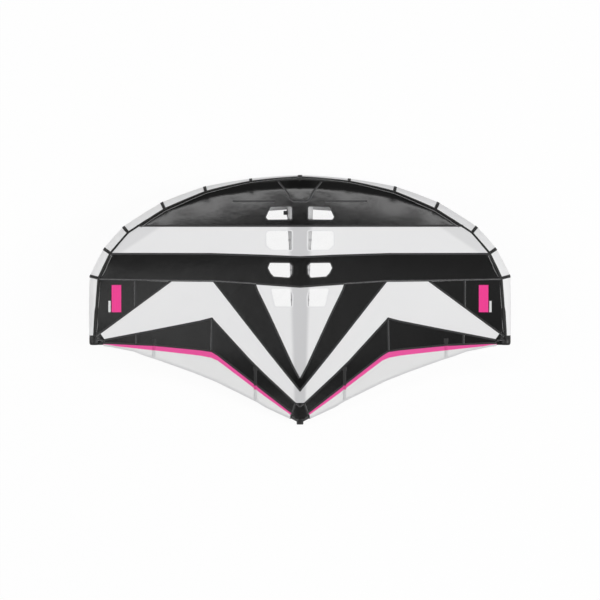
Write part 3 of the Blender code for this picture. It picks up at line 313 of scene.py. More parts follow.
def sailcloth_finish():
    """Close-woven coated polyester: faint warp and weft, soft creases, a dull shine."""
    finish = Finish("white_sailcloth", Roughness=0.5)
    x, y, z, spot = finish.place()
    creases = finish.clouds(spot, 0.11, 3.0)
    weave = (x + y).wave(WEAVE_PITCH) * (z + x - y).wave(WEAVE_PITCH)
    tone = finish.clouds(spot, 0.4)
    finish.feed(finish.shader, {
        "Base Color": finish.mix(tone, (0.80, 0.80, 0.81), (0.86, 0.86, 0.86)),
        "Roughness": 0.46 + 0.12 * creases,
        "Normal": finish.bump(weave, 0.00004, finish.bump(creases, 0.0012))})
    return finish


SAILCLOTH = sailcloth_finish()


def le_rings(side):
    rings = []
    for index in range(SLEEVE_END):
        for row in range(SEGMENT_ROWS + (index == SLEEVE_END - 1)):
            station = index + row / SEGMENT_ROWS
            rings.append([le_point(station, k * math.tau / LE_SIDES,
                                   le_swell(station, k * math.tau / LE_SIDES), side)
                          for k in range(LE_SIDES)])
    return rings


leading_edge = lofted("leading_edge_sleeve", le_rings(-1)[::-1] + le_rings(1)[1:], SAILCLOTH)
fitted(leading_edge, "sailcloth", "leading_edge_left", "leading_edge_right")

# Strut: a tapered sleeve of the same cloth down the middle, sewn to the back of the leading edge.
# Its segments meet at seams, and the canopy is sewn along its crest.
STRUT_RADIUS = 0.095
STRUT_SHARES = ((0.066, 1), (0.152, 0.968), (0.26, 0.863), (0.38, 0.747), (0.50, 0.684),
                (0.62, 0.59), (0.75, 0.484), (0.87, 0.38), (0.977, 0.221))
CROWN_SHARE = LE_RADIUS / CHORD
CREST_PEAK_SHARE = 0.28
TAIL_CREST = 2 * STRUT_SHARES[-1][1] * STRUT_RADIUS + 0.0033
STRUT_SIDES = 48
STRUT_ROWS = 8
STRUT_SWELL = 0.0010
STRUT_PUCKER = 0.0005
STRUT_PUCKERS = 15


def crest_curve(share):
    along = (share - CROWN_SHARE) / (1 - CROWN_SHARE)
    drop = (2 * LE_RADIUS - TAIL_CREST) / (1 - 2 * CREST_PEAK_SHARE)
    return 2 * LE_RADIUS + drop * (2 * CREST_PEAK_SHARE * along - along * along)


def crest(share):
    places = [v for v, _ in STRUT_SHARES]
    if places[0] <= share <= places[-1]:
        return float(np.interp(share, places, [crest_curve(v) for v in places]))
    return crest_curve(share)


def strut_radius(share):
    places, widths = zip(*STRUT_SHARES)
    return STRUT_RADIUS * float(np.interp(share, places, widths))


def strut_point(share, angle, proud=0.0):
    """A point on the strut by its share of the chord and its angle above the right side."""
    reach = strut_radius(share) + proud
    return Vector((reach * math.cos(angle), NOSE_Y - share * CHORD,
                   crest(share) - strut_radius(share) + reach * math.sin(angle)))


def strut_rings():
    rings = []
    for i, ((near, _), (far, _)) in enumerate(zip(STRUT_SHARES, STRUT_SHARES[1:])):
        last = i == len(STRUT_SHARES) - 2
        for row in range(STRUT_ROWS + last):
            share = near + (far - near) * row / STRUT_ROWS
            swell = STRUT_SWELL * math.sin(math.pi * row / STRUT_ROWS)
            ring = []
            for k in range(STRUT_SIDES):
                angle = k * math.tau / STRUT_SIDES
                pucker = STRUT_PUCKER * math.sin(STRUT_PUCKERS * angle + i) if row in (0, STRUT_ROWS) else 0
                ring.append(strut_point(share, angle, swell + pucker))
            rings.append(ring)
    return rings


strut = lofted("strut_sleeve_cloth", strut_rings(), SAILCLOTH)
fitted(strut, "sailcloth", "strut_sleeve")

# Canopy: ripstop panels sewn into one sheet, stretched over the two tubes. Its shape is a cloth
# that settles on the tubes from its edges, held at the front edge and free along the trailing edge.
ATTACH_ANGLES = tuple(math.radians(a) for a in (27, 34, 50, 63, 70, 78, 92, 87, 87))
TRAILING_EDGE_SHARES = ((0.932, 0.683), (0.898, 0.687), (0.792, 0.7049), (0.7395, 0.7217),
                        (0.667, 0.7417), (0.5157, 0.7881), (0.4055, 0.8253), (0.2123, 0.906),
                        (0.167, 0.9296), (0.0945, 0.9584), (0.0496, 0.9756))
CLOTH_GAP = 0.0005
TE_TIP_SHARE = 1.25
RELAX_STEP = 0.0125
RELAX_LEVELS = (8, 4, 2, 1)
RELAX_ROUNDS = 500
BELLY = 0.22
HIGH = 1.0
OUTSIDE = -1.0


def tree_of(*pieces):
    points = []
    faces = []
    for made in pieces:
        base = len(points)
        points += [v.co.copy() for v in made.data.vertices]
        faces += [[base + c for c in p.vertices] for p in made.data.polygons]
    return BVHTree.FromPolygons(points, faces)


TUBES = tree_of(leading_edge, strut, nodes["tip_cap_left"], nodes["tip_cap_right"])


def tube_top(x, y):
    hit = TUBES.ray_cast(Vector((x, y, HIGH)), Vector((0, 0, -1)))[0]
    return hit.z + CLOTH_GAP if hit else None


def attach_angle(station):
    index = min(int(station), len(LE_AXIS) - 2)
    return ATTACH_ANGLES[index] + (ATTACH_ANGLES[index + 1] - ATTACH_ANGLES[index]) * (station - index)


def inside(x, y, outline):
    found = False
    for (ax, ay), (bx, by) in zip(outline, outline[1:] + outline[:1]):
        if (ay > y) != (by > y) and x < (bx - ax) * (y - ay) / (by - ay) + ax:
            found = not found
    return found


def settle():
    coarse = RELAX_LEVELS[0]
    columns = int(HALF_SPAN / RELAX_STEP / coarse + 2) * coarse + 1
    rows = int(CHORD / RELAX_STEP / coarse + 2) * coarse + 1
    xs = np.arange(columns) * RELAX_STEP
    ys = NOSE_Y + coarse * RELAX_STEP - np.arange(rows) * RELAX_STEP
    front = [le_point(k / 4, attach_angle(k / 4)) for k in range(4 * SLEEVE_END + 1)]
    border = [(p.x, p.y) for p in front]
    border += [(u * HALF_SPAN, NOSE_Y - v * CHORD) for u, v in TRAILING_EDGE_SHARES]
    border += [(0, -NOSE_Y), (0, NOSE_Y)]
    tip = LE_AXIS[-1][3] + LE_AXIS[-1][2]
    tail = crest(TRAILING_EDGE_SHARES[-1][1]) + CLOTH_GAP
    floor = np.full((rows, columns), OUTSIDE)
    held = np.ones((rows, columns), bool)
    start = np.zeros((rows, columns))
    for j, y in enumerate(ys):
        for i, x in enumerate(xs):
            top = tube_top(x, y)
            floor[j, i] = OUTSIDE if top is None else top
            held[j, i] = not inside(x, y, border)
            edge = tail + (tip - tail) * (x / HALF_SPAN) ** TE_TIP_SHARE
            start[j, i] = edge if top is None else max(top, 0)
    result = None
    for level in RELAX_LEVELS:
        low = floor[::level, ::level]
        fixed = held[::level, ::level]
        first = start[::level, ::level]
        if result is None:
            z = first.copy()
        else:
            z = np.repeat(np.repeat(result, 2, 0), 2, 1)[:first.shape[0], :first.shape[1]]
            z = np.where(fixed, first, z)
        load = BELLY * (RELAX_STEP * level) ** 2 / 4
        for _ in range(RELAX_ROUNDS):
            wide = np.pad(z, 1, mode="edge")
            wide[1:-1, 0] = z[:, 1]
            mean = (wide[1:-1, :-2] + wide[1:-1, 2:] + wide[:-2, 1:-1] + wide[2:, 1:-1]) / 4
            z = np.where(fixed, first, np.maximum(mean + load, low))
        result = z
    return ys[0], result


GRID_TOP, GRID_Z = settle()


def cloth_height(x, y, lift=0.0):
    """The canopy's underside over a point of the plan, plus a lift."""
    across = abs(x) / RELAX_STEP
    down = (GRID_TOP - y) / RELAX_STEP
    i = min(int(across), GRID_Z.shape[1] - 2)
    j = min(int(down), GRID_Z.shape[0] - 2)
    a = across - i
    b = down - j
    z = ((GRID_Z[j, i] * (1 - a) + GRID_Z[j, i + 1] * a) * (1 - b)
         + (GRID_Z[j + 1, i] * (1 - a) + GRID_Z[j + 1, i + 1] * a) * b)
    top = tube_top(x, y)
    return (z if top is None else max(z, top)) + lift


CLOTH_THICK = 0.0006
CLOTH_EDGE = 0.018
LONG_EDGE = 1.4 * CLOTH_EDGE
CUT_ROUNDS = 4
BEND_LIMIT = 0.9
WELD = 1e-5


def cloth_patch(bm, node):
    """Adds one panel: the underside of its node, cut finer and laid on the settled cloth."""
    panel = bmesh.new()
    panel.from_mesh(node.data)
    bmesh.ops.remove_doubles(panel, verts=panel.verts, dist=WELD)
    panel.normal_update()
    panel.faces.ensure_lookup_table()
    seed = max((f for f in panel.faces if f.normal.z < 0), key=lambda f: f.calc_area())
    kept = {seed}
    queue = [seed]
    while queue:
        face = queue.pop()
        for edge in face.edges:
            for other in edge.link_faces:
                if other not in kept and other.normal.angle(face.normal, math.pi) < BEND_LIMIT:
                    kept.add(other)
                    queue.append(other)
    bmesh.ops.delete(panel, geom=[f for f in panel.faces if f not in kept], context="FACES")
    bmesh.ops.reverse_faces(panel, faces=panel.faces)
    for _ in range(CUT_ROUNDS):
        long = [e for e in panel.edges if e.calc_length() > LONG_EDGE]
        if not long:
            break
        bmesh.ops.subdivide_edges(panel, edges=long, cuts=1)
        bmesh.ops.triangulate(panel, faces=panel.faces)
        bmesh.ops.beautify_fill(panel, faces=panel.faces, edges=panel.edges)
        for v in panel.verts:
            v.co.z = cloth_height(v.co.x, v.co.y)
    rows = {v: bm.verts.new(v.co) for v in panel.verts}
    for f in panel.faces:
        bm.faces.new([rows[v] for v in f.verts])
    panel.free()


SHADE_HALF = 0.074
SHADE_FLARE = 0.040


def strut_shade(x, y):
    """1 where the cloth lies on the strut, 0 beside it: a mask for the strut's shade, painted into the
    cloth.
    """
    half = SHADE_HALF + SHADE_FLARE * (y + 0.1)
    return 1 - (abs(x) / half).ramp(0.55, 1.05)


TUBE_SPOT = (1.031, 0.5002)
TUBE_WAY = (0.5541, 0.8325)


def tube_shade(x, y):
    """Painted shade over the leading edge near the tips, at half strength: ahead of a line through a spot,
    square to a way.
    """
    ahead = (abs(x) - TUBE_SPOT[0]) * TUBE_WAY[0] + (y - TUBE_SPOT[1]) * TUBE_WAY[1]
    return ahead.ramp(-0.01, 0.02) * 0.5


THREAD_PITCH = 0.005


def threads(x, y):
    """1 along the ripstop's thick threads, which cross in squares, and 0 between them."""
    return 1 - (x.wave(THREAD_PITCH).low(y.wave(THREAD_PITCH))).ramp(0.0, 0.22)


def ripstop(name, dark, light, lines, over, dull=0.50, shine=0.5):
    """Light ripstop: a grid of thicker threads, soft creases, a coated face, and shade painted over the
    strut and the tube.
    """
    finish = Finish(name, Specular_IOR_Level=shine)
    x, y, _, spot = finish.place()
    grid = threads(x, y)
    creases = finish.clouds(spot, 0.16, 3.0)
    small = finish.clouds(spot, 0.03, 2.0)
    tone = finish.clouds(spot, 0.55)
    cloth = finish.mix(tone, dark, light)
    cloth = finish.mix(grid * 0.35, cloth, lines)
    finish.feed(finish.shader, {
        # The over colour is painted shade, mixed in where the cloth lies on the strut and over the tube near
        # the tips.
        "Base Color": finish.mix(strut_shade(x, y).high(tube_shade(x, y)), cloth, over),
        "Roughness": dull + 0.05 * creases + 0.02 * small - 0.05 * strut_shade(x, y),
        "Normal": finish.bump(grid, 0.00006, finish.bump(creases + 0.2 * small, 0.0016))})
    return finish


# The fourth colour of each ripstop is its painted shade over the strut and the tube near the tips.
BLACK_RIPSTOP = ripstop("black_ripstop", (0.006, 0.006, 0.006), (0.009, 0.009, 0.009),
                        (0.020, 0.020, 0.020), (0.004, 0.004, 0.004), 0.12)
WHITE_RIPSTOP = ripstop("white_ripstop", (0.79, 0.79, 0.80), (0.84, 0.84, 0.84),
                        (0.90, 0.90, 0.90), (0.60, 0.60, 0.61), 0.55)
PINK_RIPSTOP = ripstop("pink_ripstop", (0.80, 0.05, 0.30), (0.88, 0.08, 0.36),
                       (0.95, 0.20, 0.46), (0.60, 0.04, 0.22), 0.5)


def thickened(made, thick, offset=1):
    """Gives a sheet its thickness, with crisp edges so that its rim doesn't shade its face."""
    solid = made.modifiers.new("thickness", "SOLIDIFY")
    solid.thickness = thick
    solid.offset = offset
    whole = bpy.data.meshes.new_from_object(made.evaluated_get(bpy.context.evaluated_depsgraph_get()))
    made.modifiers.clear()
    made.data = whole
    whole.set_sharp_from_angle(angle=math.radians(50))


CANOPY = []


def canopy_part(name, finish, slot, names):
    """One colour of the canopy, from the panels cut from it; the area that it sums is not used."""
    bm = bmesh.new()
    for n in names:
        cloth_patch(bm, nodes[n])
    area = sum(f.calc_area() for f in bm.faces)
    made = placed(name, bm, finish)
    CANOPY.append(made)
    thickened(made, CLOTH_THICK)
    fitted(made, slot, *names)


canopy_part("canopy_black", BLACK_RIPSTOP, "black_cloth",
            ["front_panel", "rear_black_band", "v_stripe", "tip_panel_left", "tip_panel_right",
             "trailing_black_left", "trailing_black_right", "tip_patch_left", "tip_patch_right",
             "tail_patch"])
canopy_part("canopy_white", WHITE_RIPSTOP, "white_cloth",
            ["white_band", "centre_wedge", "white_wedge_left", "white_wedge_right"])
canopy_part("canopy_pink", PINK_RIPSTOP, "pink_cloth", ["pink_band_left", "pink_band_right"])

# Trailing film: two long panels of pale translucent laminate, a scrim of slanted threads between two
# films, sewn on behind the pink bands.
SCRIM_PITCH = 0.012
SCRIM_SLANT = 0.6
HAZE = Finish("pale_laminate", Roughness=0.3, Specular_IOR_Level=0.5)
film_x, film_y, _, film_spot = HAZE.place()
film_waves = HAZE.clouds(film_spot, 0.12, 3.0)
scrim = [(film_x + slant * film_y).wave(SCRIM_PITCH) for slant in (SCRIM_SLANT, -SCRIM_SLANT)]
HAZE.feed(HAZE.shader, {
    "Base Color": HAZE.mix(film_waves, (0.86, 0.86, 0.86), (0.91, 0.91, 0.91)),
    "Alpha": 0.62 + 0.14 * scrim[0].low(scrim[1]).ramp(0.0, 0.12),
    "Normal": HAZE.bump(film_waves, 0.002)})
canopy_part("canopy_trailing_film", HAZE, "haze_film", ["trailing_film_left", "trailing_film_right"])

# Windows: eight panes of clear film, sewn into the cloth in four rows on both sides of the strut, so
# that the rider can look through the wing.
PANE = Finish("clear_film", Roughness=0.06, Specular_IOR_Level=0.5, Base_Color=(0.20, 0.21, 0.22))
pane_spot = PANE.spot()
PANE.feed(PANE.shader, {"Alpha": 0.015 + 0.02 * PANE.clouds(pane_spot, 0.05),
                        "Normal": PANE.bump(PANE.clouds(pane_spot, 0.07, 3.0), 0.0015)})
canopy_part("canopy_windows", PANE, "window_film",
            [f"window_{side}_{row}" for side in ("left", "right") for row in (1, 2, 3, 4)])

# Seams: lapped strips of the darker cloth on the canopy, 14 mm wide, sewn with two rows of stitches.
# Grey thread shows on the black panels; where black meets white the thread is black.
SEAM_LOW = -0.001
SEAM_HIGH = 0.013
SEAM_THICK = 0.0005
STITCH_PITCH = 0.006
STITCH_SWING = 0.0011
STITCH_HALF = 0.0006
THREAD_TWIST = 0.0012
TAPE_WEAVE = 0.0010
SEAM_SHARES = {
    "white": ((0, 0.2075), (0.775, 0.2075)),
    "black": ((0, 0.3255), (0.157, 0.3195), (0.425, 0.3127), (0.897, 0.3127)),
    "rear": ((0, 0.4502), (0.209, 0.4378), (0.41, 0.427), (0.611, 0.4254), (0.9605, 0.4202)),
    "tip": ((0.611, 0.4262), (0.946, 0.6333)),
    "outer": ((0.4132, 0.427), (0.382, 0.460), (0.143, 0.7173), (0, 0.8668)),
    "inner": ((0.209, 0.4378), (0.200, 0.460), (0.143, 0.5586), (0.033, 0.760), (0, 0.812)),
    "lower": ((0.928, 0.655), (0.692, 0.6173), (0.477, 0.5818), (0.419, 0.5694),
              (0.234, 0.7401), (0.167, 0.7957), (0.020, 0.9116)),
    "pink": ((0.933, 0.674), (0.898, 0.6745), (0.692, 0.6825), (0.477, 0.7001),
             (0.4222, 0.7069), (0.392, 0.7225), (0.167, 0.8709), (0.0415, 0.9533)),
}
DART_HALF = 0.007
DART_SHARES = (((0.783, 0.424), (0.783, 0.528)), ((0.777, 0.634), (0.777, 0.6785)),
               ((0.4185, 0.570), (0.4225, 0.706)), ((0.3197, 0.106), (0.119, 0.106)),
               ((0.9686, 0.644), (0.9514, 0.6329)), ((0.9686, 0.6616), (0.9528, 0.6568), (0.9352, 0.6608)),
               ((0.021, 0.9135), (0.0406, 0.9615)), ((0.016, 0.9155), (0, 0.926)))
NOSE_PATCH_SHARES = ((0.103, 0.026), (0.0773, 0.052), (0.0582, 0.0752), (0.0477, 0.0964),
                     (0.0305, 0.1056), (0, 0.1056))
NOSE_PATCH_STEP = 0.008
CANOPY_TREE = tree_of(*CANOPY)
LAID_GAP = 0.0002


def laid(x, y, lift):
    """A height on the upper face of the canopy, plus a lift."""
    hit = CANOPY_TREE.ray_cast(Vector((x, y, HIGH)), Vector((0, 0, -1)))[0]
    return (hit.z if hit else cloth_height(x, y, CLOTH_THICK)) + LAID_GAP + lift


def plan_path(shares):
    return [Vector((u * HALF_SPAN, NOSE_Y - v * CHORD)) for u, v in shares]


def spaced(path, step):
    points = []
    for a, b in zip(path, path[1:]):
        count = max(1, math.ceil((b - a).length / step))
        points += [a.lerp(b, k / count) for k in range(count)]
    return points + [path[-1]]


def rounded(path, radius, steps=4):
    """A closed path with its corners turned into arcs."""
    points = []
    for before, corner, after in zip(path[-1:] + path[:-1], path, path[1:] + path[:1]):
        into = (before - corner).normalized()
        away = (after - corner).normalized()
        half = into.angle(away) / 2
        reach = radius / math.tan(half)
        centre = corner + (into + away).normalized() * (radius / math.sin(half))
        start = corner + into * reach - centre
        end = corner + away * reach - centre
        for k in range(steps + 1):
            points.append(centre + start.slerp(end, k / steps) * radius)
    return points + points[:1]


def grid_cells(bm, rows):
    """Faces between rows of (point, uv) pairs."""
    uv = bm.loops.layers.uv.verify()
    made = [[(bm.verts.new(p), t) for p, t in row] for row in rows]
    for near, far in zip(made, made[1:]):
        for k in range(len(near) - 1):
            corners = [near[k], far[k], far[k + 1], near[k + 1]]
            face = bm.faces.new([c[0] for c in corners])
            flat = {c[0]: c[1] for c in corners}
            for loop in face.loops:
                loop[uv].uv = flat[loop.vert]


def ribbon(bm, path, low, high, lift=0.0, crown=0.0, step=0.012, columns=4):
    """A strip on both sides of the canopy, between two distances to the left of a path in plan."""
    points = spaced(path, step)
    for side in (1, -1):
        rows = []
        run = 0.0
        for i, point in enumerate(points):
            before = points[max(i - 1, 0)]
            after = points[min(i + 1, len(points) - 1)]
            along = (after - before).normalized()
            left = Vector((-along.y, along.x))
            run += (point - before).length
            row = []
            for k in range(columns + 1):
                across = low + (high - low) * k / columns
                spot = point + left * across
                rise = crown * math.sin(math.pi * k / columns)
                z = laid(side * spot.x, spot.y, lift + rise)
                row.append(((side * spot.x, spot.y, z), (run, across)))
            rows.append(row)
        grid_cells(bm, rows)


def stitched(name, cloth, thread, middle=(SEAM_LOW + SEAM_HIGH) / 2, gap=0.0034, dull=0.55):
    """Cloth with two rows of zigzag stitches along a strip, drawn and raised from its UV map."""
    finish = Finish(name, Roughness=dull)
    along, across = finish.along()
    swing = (along.wave(STITCH_PITCH) - 0.5) * (2 * STITCH_SWING)
    rows = abs(abs(across - middle) - gap / 2 - swing)
    sewn = 1 - (rows / STITCH_HALF).ramp(0.5, 1.2)
    twist = along.wave(THREAD_TWIST)
    weave = along.wave(TAPE_WEAVE) * across.wave(TAPE_WEAVE)
    finish.feed(finish.shader, {
        "Base Color": finish.mix(sewn, cloth, thread),
        "Normal": finish.bump(sewn * (0.7 + 0.3 * twist), 0.0004, finish.bump(weave, 0.00006))})
    return finish


def faced(bm, way):
    """Turns each face to the way out at its middle."""
    bm.normal_update()
    for f in bm.faces:
        if f.normal.dot(way(f.calc_center_median())) < 0:
            f.normal_flip()


def upward(spot):
    return Vector((0, 0, 1))


def sewn_piece(name, bm, finish, slot, *solids, thick=SEAM_THICK, way=upward):
    """A sewn-on strip of cloth or tape, from its bare mesh to its place on the wing."""
    faced(bm, way)
    made = placed(name, bm, finish)
    thickened(made, thick)
    fitted(made, slot, *solids)
    return made


SEAM_GREY = stitched("black_seam_grey_thread", (0.020, 0.020, 0.021), (0.30, 0.30, 0.30))
SEAM_BLACK = stitched("black_seam_black_thread", (0.018, 0.018, 0.019), (0.035, 0.035, 0.035))
grey_sewn = bmesh.new()
black_sewn = bmesh.new()
ribbon(grey_sewn, plan_path(SEAM_SHARES["rear"][1:]), SEAM_LOW, SEAM_HIGH)
for dart in DART_SHARES:
    ribbon(grey_sewn, plan_path(dart), -DART_HALF, DART_HALF)
ribbon(grey_sewn, plan_path(NOSE_PATCH_SHARES), -DART_HALF, DART_HALF, step=NOSE_PATCH_STEP)
ribbon(black_sewn, plan_path(SEAM_SHARES["rear"][:2]), SEAM_LOW, SEAM_HIGH)
for word, low, high in (("white", SEAM_LOW, SEAM_HIGH), ("black", -SEAM_HIGH, -SEAM_LOW),
                        ("tip", SEAM_LOW, SEAM_HIGH), ("outer", -SEAM_HIGH, -SEAM_LOW),
                        ("inner", SEAM_LOW, SEAM_HIGH), ("lower", SEAM_LOW, SEAM_HIGH),
                        ("pink", -SEAM_HIGH, -SEAM_LOW)):
    ribbon(black_sewn, plan_path(SEAM_SHARES[word]), low, high)
sewn_piece("seams_grey_thread", grey_sewn, SEAM_GREY, "black_cloth")
sewn_piece("seams_black_thread", black_sewn, SEAM_BLACK, "black_cloth")

# Trailing hem: the free edge of the film is folded under and sewn down with a double row, so it shows
# a little darker along the whole trailing edge.
HEM_WIDTH = 0.014
HEM_INSET = 0.0005
HEM = stitched("trailing_hem", (0.66, 0.66, 0.67), (0.78, 0.78, 0.78), -HEM_WIDTH / 2, 0.006)
hem = bmesh.new()
ribbon(hem, plan_path(TRAILING_EDGE_SHARES), -HEM_WIDTH, -HEM_INSET)
sewn_piece("trailing_hem", hem, HEM, "haze_film")

# Window borders: the cloth is turned over each pane's edge and sewn down all round it. The borders of
# the second and fourth rows are of the white cloth.
WINDOW_SHARES = (
    ((0.0382, 0.1259), (0.0382, 0.1787), (0.1541, 0.1795), (0.1627, 0.1695), (0.1412, 0.1283)),
    ((0.0382, 0.2243), (0.0382, 0.3003), (0.135, 0.2999), (0.1608, 0.2815), (0.1608, 0.2323),
     (0.152, 0.2243)),
    ((0.0496, 0.3519), (0.0358, 0.3635), (0.0372, 0.3955), (0.051, 0.4106), (0.1245, 0.4062),
     (0.1393, 0.3938), (0.1531, 0.3723), (0.1436, 0.3511)),
    ((0.0477, 0.4534), (0.0358, 0.4842), (0.0382, 0.5262), (0.1188, 0.5254), (0.1388, 0.4534)),
)
BORDER_WIDTH = 0.008
BORDER_LAP = 0.001
BORDER_ROUND = 0.012
BORDER_LIFT = 0.0001
BORDER_STEP = 0.02
BORDER_ROWS = 0.003
BORDER_WHITE = stitched("white_seam", (0.80, 0.80, 0.81), (0.88, 0.88, 0.88),
                        BORDER_WIDTH / 2, BORDER_ROWS)
BORDER_BLACK = stitched("black_window_border", (0.018, 0.018, 0.019), (0.05, 0.05, 0.05),
                        -BORDER_WIDTH / 2, BORDER_ROWS)
black_borders = bmesh.new()
white_borders = bmesh.new()
for row, shares in enumerate(WINDOW_SHARES):
    ribbon(white_borders if row % 2 else black_borders, rounded(plan_path(shares), BORDER_ROUND),
           -BORDER_WIDTH, BORDER_LAP, BORDER_LIFT, step=BORDER_STEP, columns=2)
sewn_piece("window_borders_black", black_borders, BORDER_BLACK, "black_cloth")
sewn_piece("window_borders_white", white_borders, BORDER_WHITE, "white_cloth")

# Tip marks: on each tip panel a plain pink bar and a thin white one beside it, screen-printed on the
# cloth.
PINK_BAR_SHARES = ((0.871, 0.440), (0.871, 0.548))
PINK_BAR_HALF = 0.034
WHITE_BAR_SHARES = ((0.9035, 0.503), (0.9035, 0.548))
WHITE_BAR_HALF = 0.008
MARK_LIFT = 0.0001
MARK_THICK = 0.0002


def printed(name, thin, full):
    """Ink screen-printed on ripstop: it wears thin in places and the cloth's grid shows through."""
    finish = Finish(name, Roughness=0.5)
    x, y, _, spot = finish.place()
    finish.feed(finish.shader, {
        "Base Color": finish.mix(finish.clouds(spot, 0.012, 4.0), thin, full),
        "Normal": finish.bump(threads(x, y), 0.00012)})
    return finish


MARK_PINK = printed("mark_pink", (0.84, 0.026, 0.26), (0.94, 0.035, 0.31))
MARK_WHITE = printed("mark_white", (0.68, 0.68, 0.68), (0.78, 0.78, 0.78))
pink_mark = bmesh.new()
ribbon(pink_mark, plan_path(PINK_BAR_SHARES), -PINK_BAR_HALF, PINK_BAR_HALF, MARK_LIFT)
sewn_piece("tip_bars_pink", pink_mark, MARK_PINK, "pink_cloth", thick=MARK_THICK)
white_mark = bmesh.new()
ribbon(white_mark, plan_path(WHITE_BAR_SHARES), -WHITE_BAR_HALF, WHITE_BAR_HALF, MARK_LIFT)
sewn_piece("tip_bars_white", white_mark, MARK_WHITE, "white_cloth", thick=MARK_THICK)

# Batten pockets: narrow strips sewn over the stiff plastic battens, each in the cloth of the panel that
# it lies on, and closed by a wider patch in front.
BATTEN_SHARES = ((0.695, 0.658, 0.6824, 0.7003, 0.729), (0.213, 0.772, 0.842, 0.858, 0.899))
POCKET_HALF = 0.011
PATCH_HALF = 0.017
PATCH_FRONT = 0.006
PATCH_REAR = 0.010
POCKET_LIFT = 0.0006
POCKET_CROWN = 0.0026
POCKET_COLUMNS = 8
POCKET_ROWS = 0.017
POCKET_BLACK = stitched("pocket_black", (0.014, 0.014, 0.014), (0.04, 0.04, 0.04), 0, POCKET_ROWS)
POCKET_PINK = stitched("pocket_pink", (0.70, 0.055, 0.27), (0.76, 0.12, 0.34), 0, POCKET_ROWS)
POCKET_FILM = stitched("pocket_film", (0.62, 0.62, 0.63), (0.7, 0.7, 0.7), 0, POCKET_ROWS)
pockets = [bmesh.new() for _ in range(3)]
for u, *stops in BATTEN_SHARES:
    for bm, start, end in zip(pockets, stops, stops[1:]):
        ribbon(bm, plan_path(((u, start), (u, end))), -POCKET_HALF, POCKET_HALF, POCKET_LIFT,
               POCKET_CROWN, columns=POCKET_COLUMNS)
    ribbon(pockets[0], plan_path(((u, stops[0] - PATCH_FRONT), (u, stops[0] + PATCH_REAR))),
           -PATCH_HALF, PATCH_HALF, 2 * POCKET_LIFT, POCKET_CROWN, columns=POCKET_COLUMNS)
sewn_piece("batten_pockets_black", pockets[0], POCKET_BLACK, "black_cloth", "inner_batten_left",
           "inner_batten_right", "outer_batten_left", "outer_batten_right")
sewn_piece("batten_pockets_pink", pockets[1], POCKET_PINK, "pink_cloth")
sewn_piece("batten_pockets_film", pockets[2], POCKET_FILM, "haze_film")

# Seam tape: black webbing along the canopy's front edge, and a strip round the front of the tube
# over each of its seams.
TAPE_LIFT = 0.0008
TAPE_THICK = 0.0009
TAPE_BAND = 0.014
TAPE_STEPS = 12
CANOPY_REACH = 0.002
STRIP_LIFT = 0.0011
STRIP_WIDTH = 0.021
CENTRE_STRIP_WIDTH = 0.029
STRIP_LOW = math.radians(-72)
STRIP_ROWS = 40


def webbing(name, tone=(0.005, 0.005, 0.005), rib=0.0022):
    """Woven polyester tape with slanted ribs."""
    finish = Finish(name, Roughness=0.62)
    along, across = finish.along()
    ribs = (along + across * 0.5).wave(rib) * (0.6 + 0.4 * across.wave(rib))
    finish.feed(finish.shader, {
        "Base Color": finish.mix(ribs, tone, tuple(2.2 * c for c in tone)),
        "Normal": finish.bump(ribs, 0.0003)})
    return finish


TAPE = webbing("black_webbing")


def off_leading_edge(spot):
    """The way out of the leading edge at a spot on it, from the nearest point of its axis."""
    best = min(LE_AXIS, key=lambda a: (a[0].x - abs(spot.x)) ** 2 + (a[0].y - spot.y) ** 2)
    return spot - Vector((math.copysign(best[0].x, spot.x), best[0].y, best[3]))


tape = bmesh.new()
for side in (1, -1):
    band = []
    run = 0.0
    for k in range(TAPE_STEPS * SLEEVE_END + 1):
        station = k / TAPE_STEPS
        radius = LE_AXIS[min(round(station), SLEEVE_END)][2]
        row = []
        for column in range(4):
            reach = TAPE_BAND * (column / 3 - 0.5)
            angle = attach_angle(station) - reach / radius
            over = TAPE_LIFT + (CLOTH_THICK + SEAM_THICK if reach < CANOPY_REACH else 0)
            row.append((le_point(station, angle, over + le_swell(station, angle), side), (run, reach)))
        run += le_length(min(int(station), SLEEVE_END)) / TAPE_STEPS
        band.append(row)
    grid_cells(tape, band)
for seam in range(SLEEVE_END):
    half = (STRIP_WIDTH if seam else CENTRE_STRIP_WIDTH) / 2
    for side in ((1, -1) if seam else (1,)):
        strip = []
        top = attach_angle(seam) - TAPE_BAND / 2 / LE_AXIS[seam][2]
        for row in range(STRIP_ROWS + 1):
            angle = top + (STRIP_LOW - top) * row / STRIP_ROWS
            cells = []
            for column in range(-3, 4):
                across = column / 3 * half
                if across >= 0:
                    station = seam + across / le_length(seam)
                else:
                    station = seam + across / le_length(max(seam - 1, 0))
                flank = side if station >= 0 else -side
                lift = STRIP_LIFT + le_swell(abs(station), angle)
                cells.append((le_point(abs(station), angle, lift, flank),
                              (row / STRIP_ROWS * (top - STRIP_LOW) * LE_AXIS[seam][2], across)))
            strip.append(cells)
        grid_cells(tape, strip)
sewn_piece("seam_tape_webbing", tape, TAPE, "tape", "seam_tape", thick=TAPE_THICK, way=off_leading_edge)

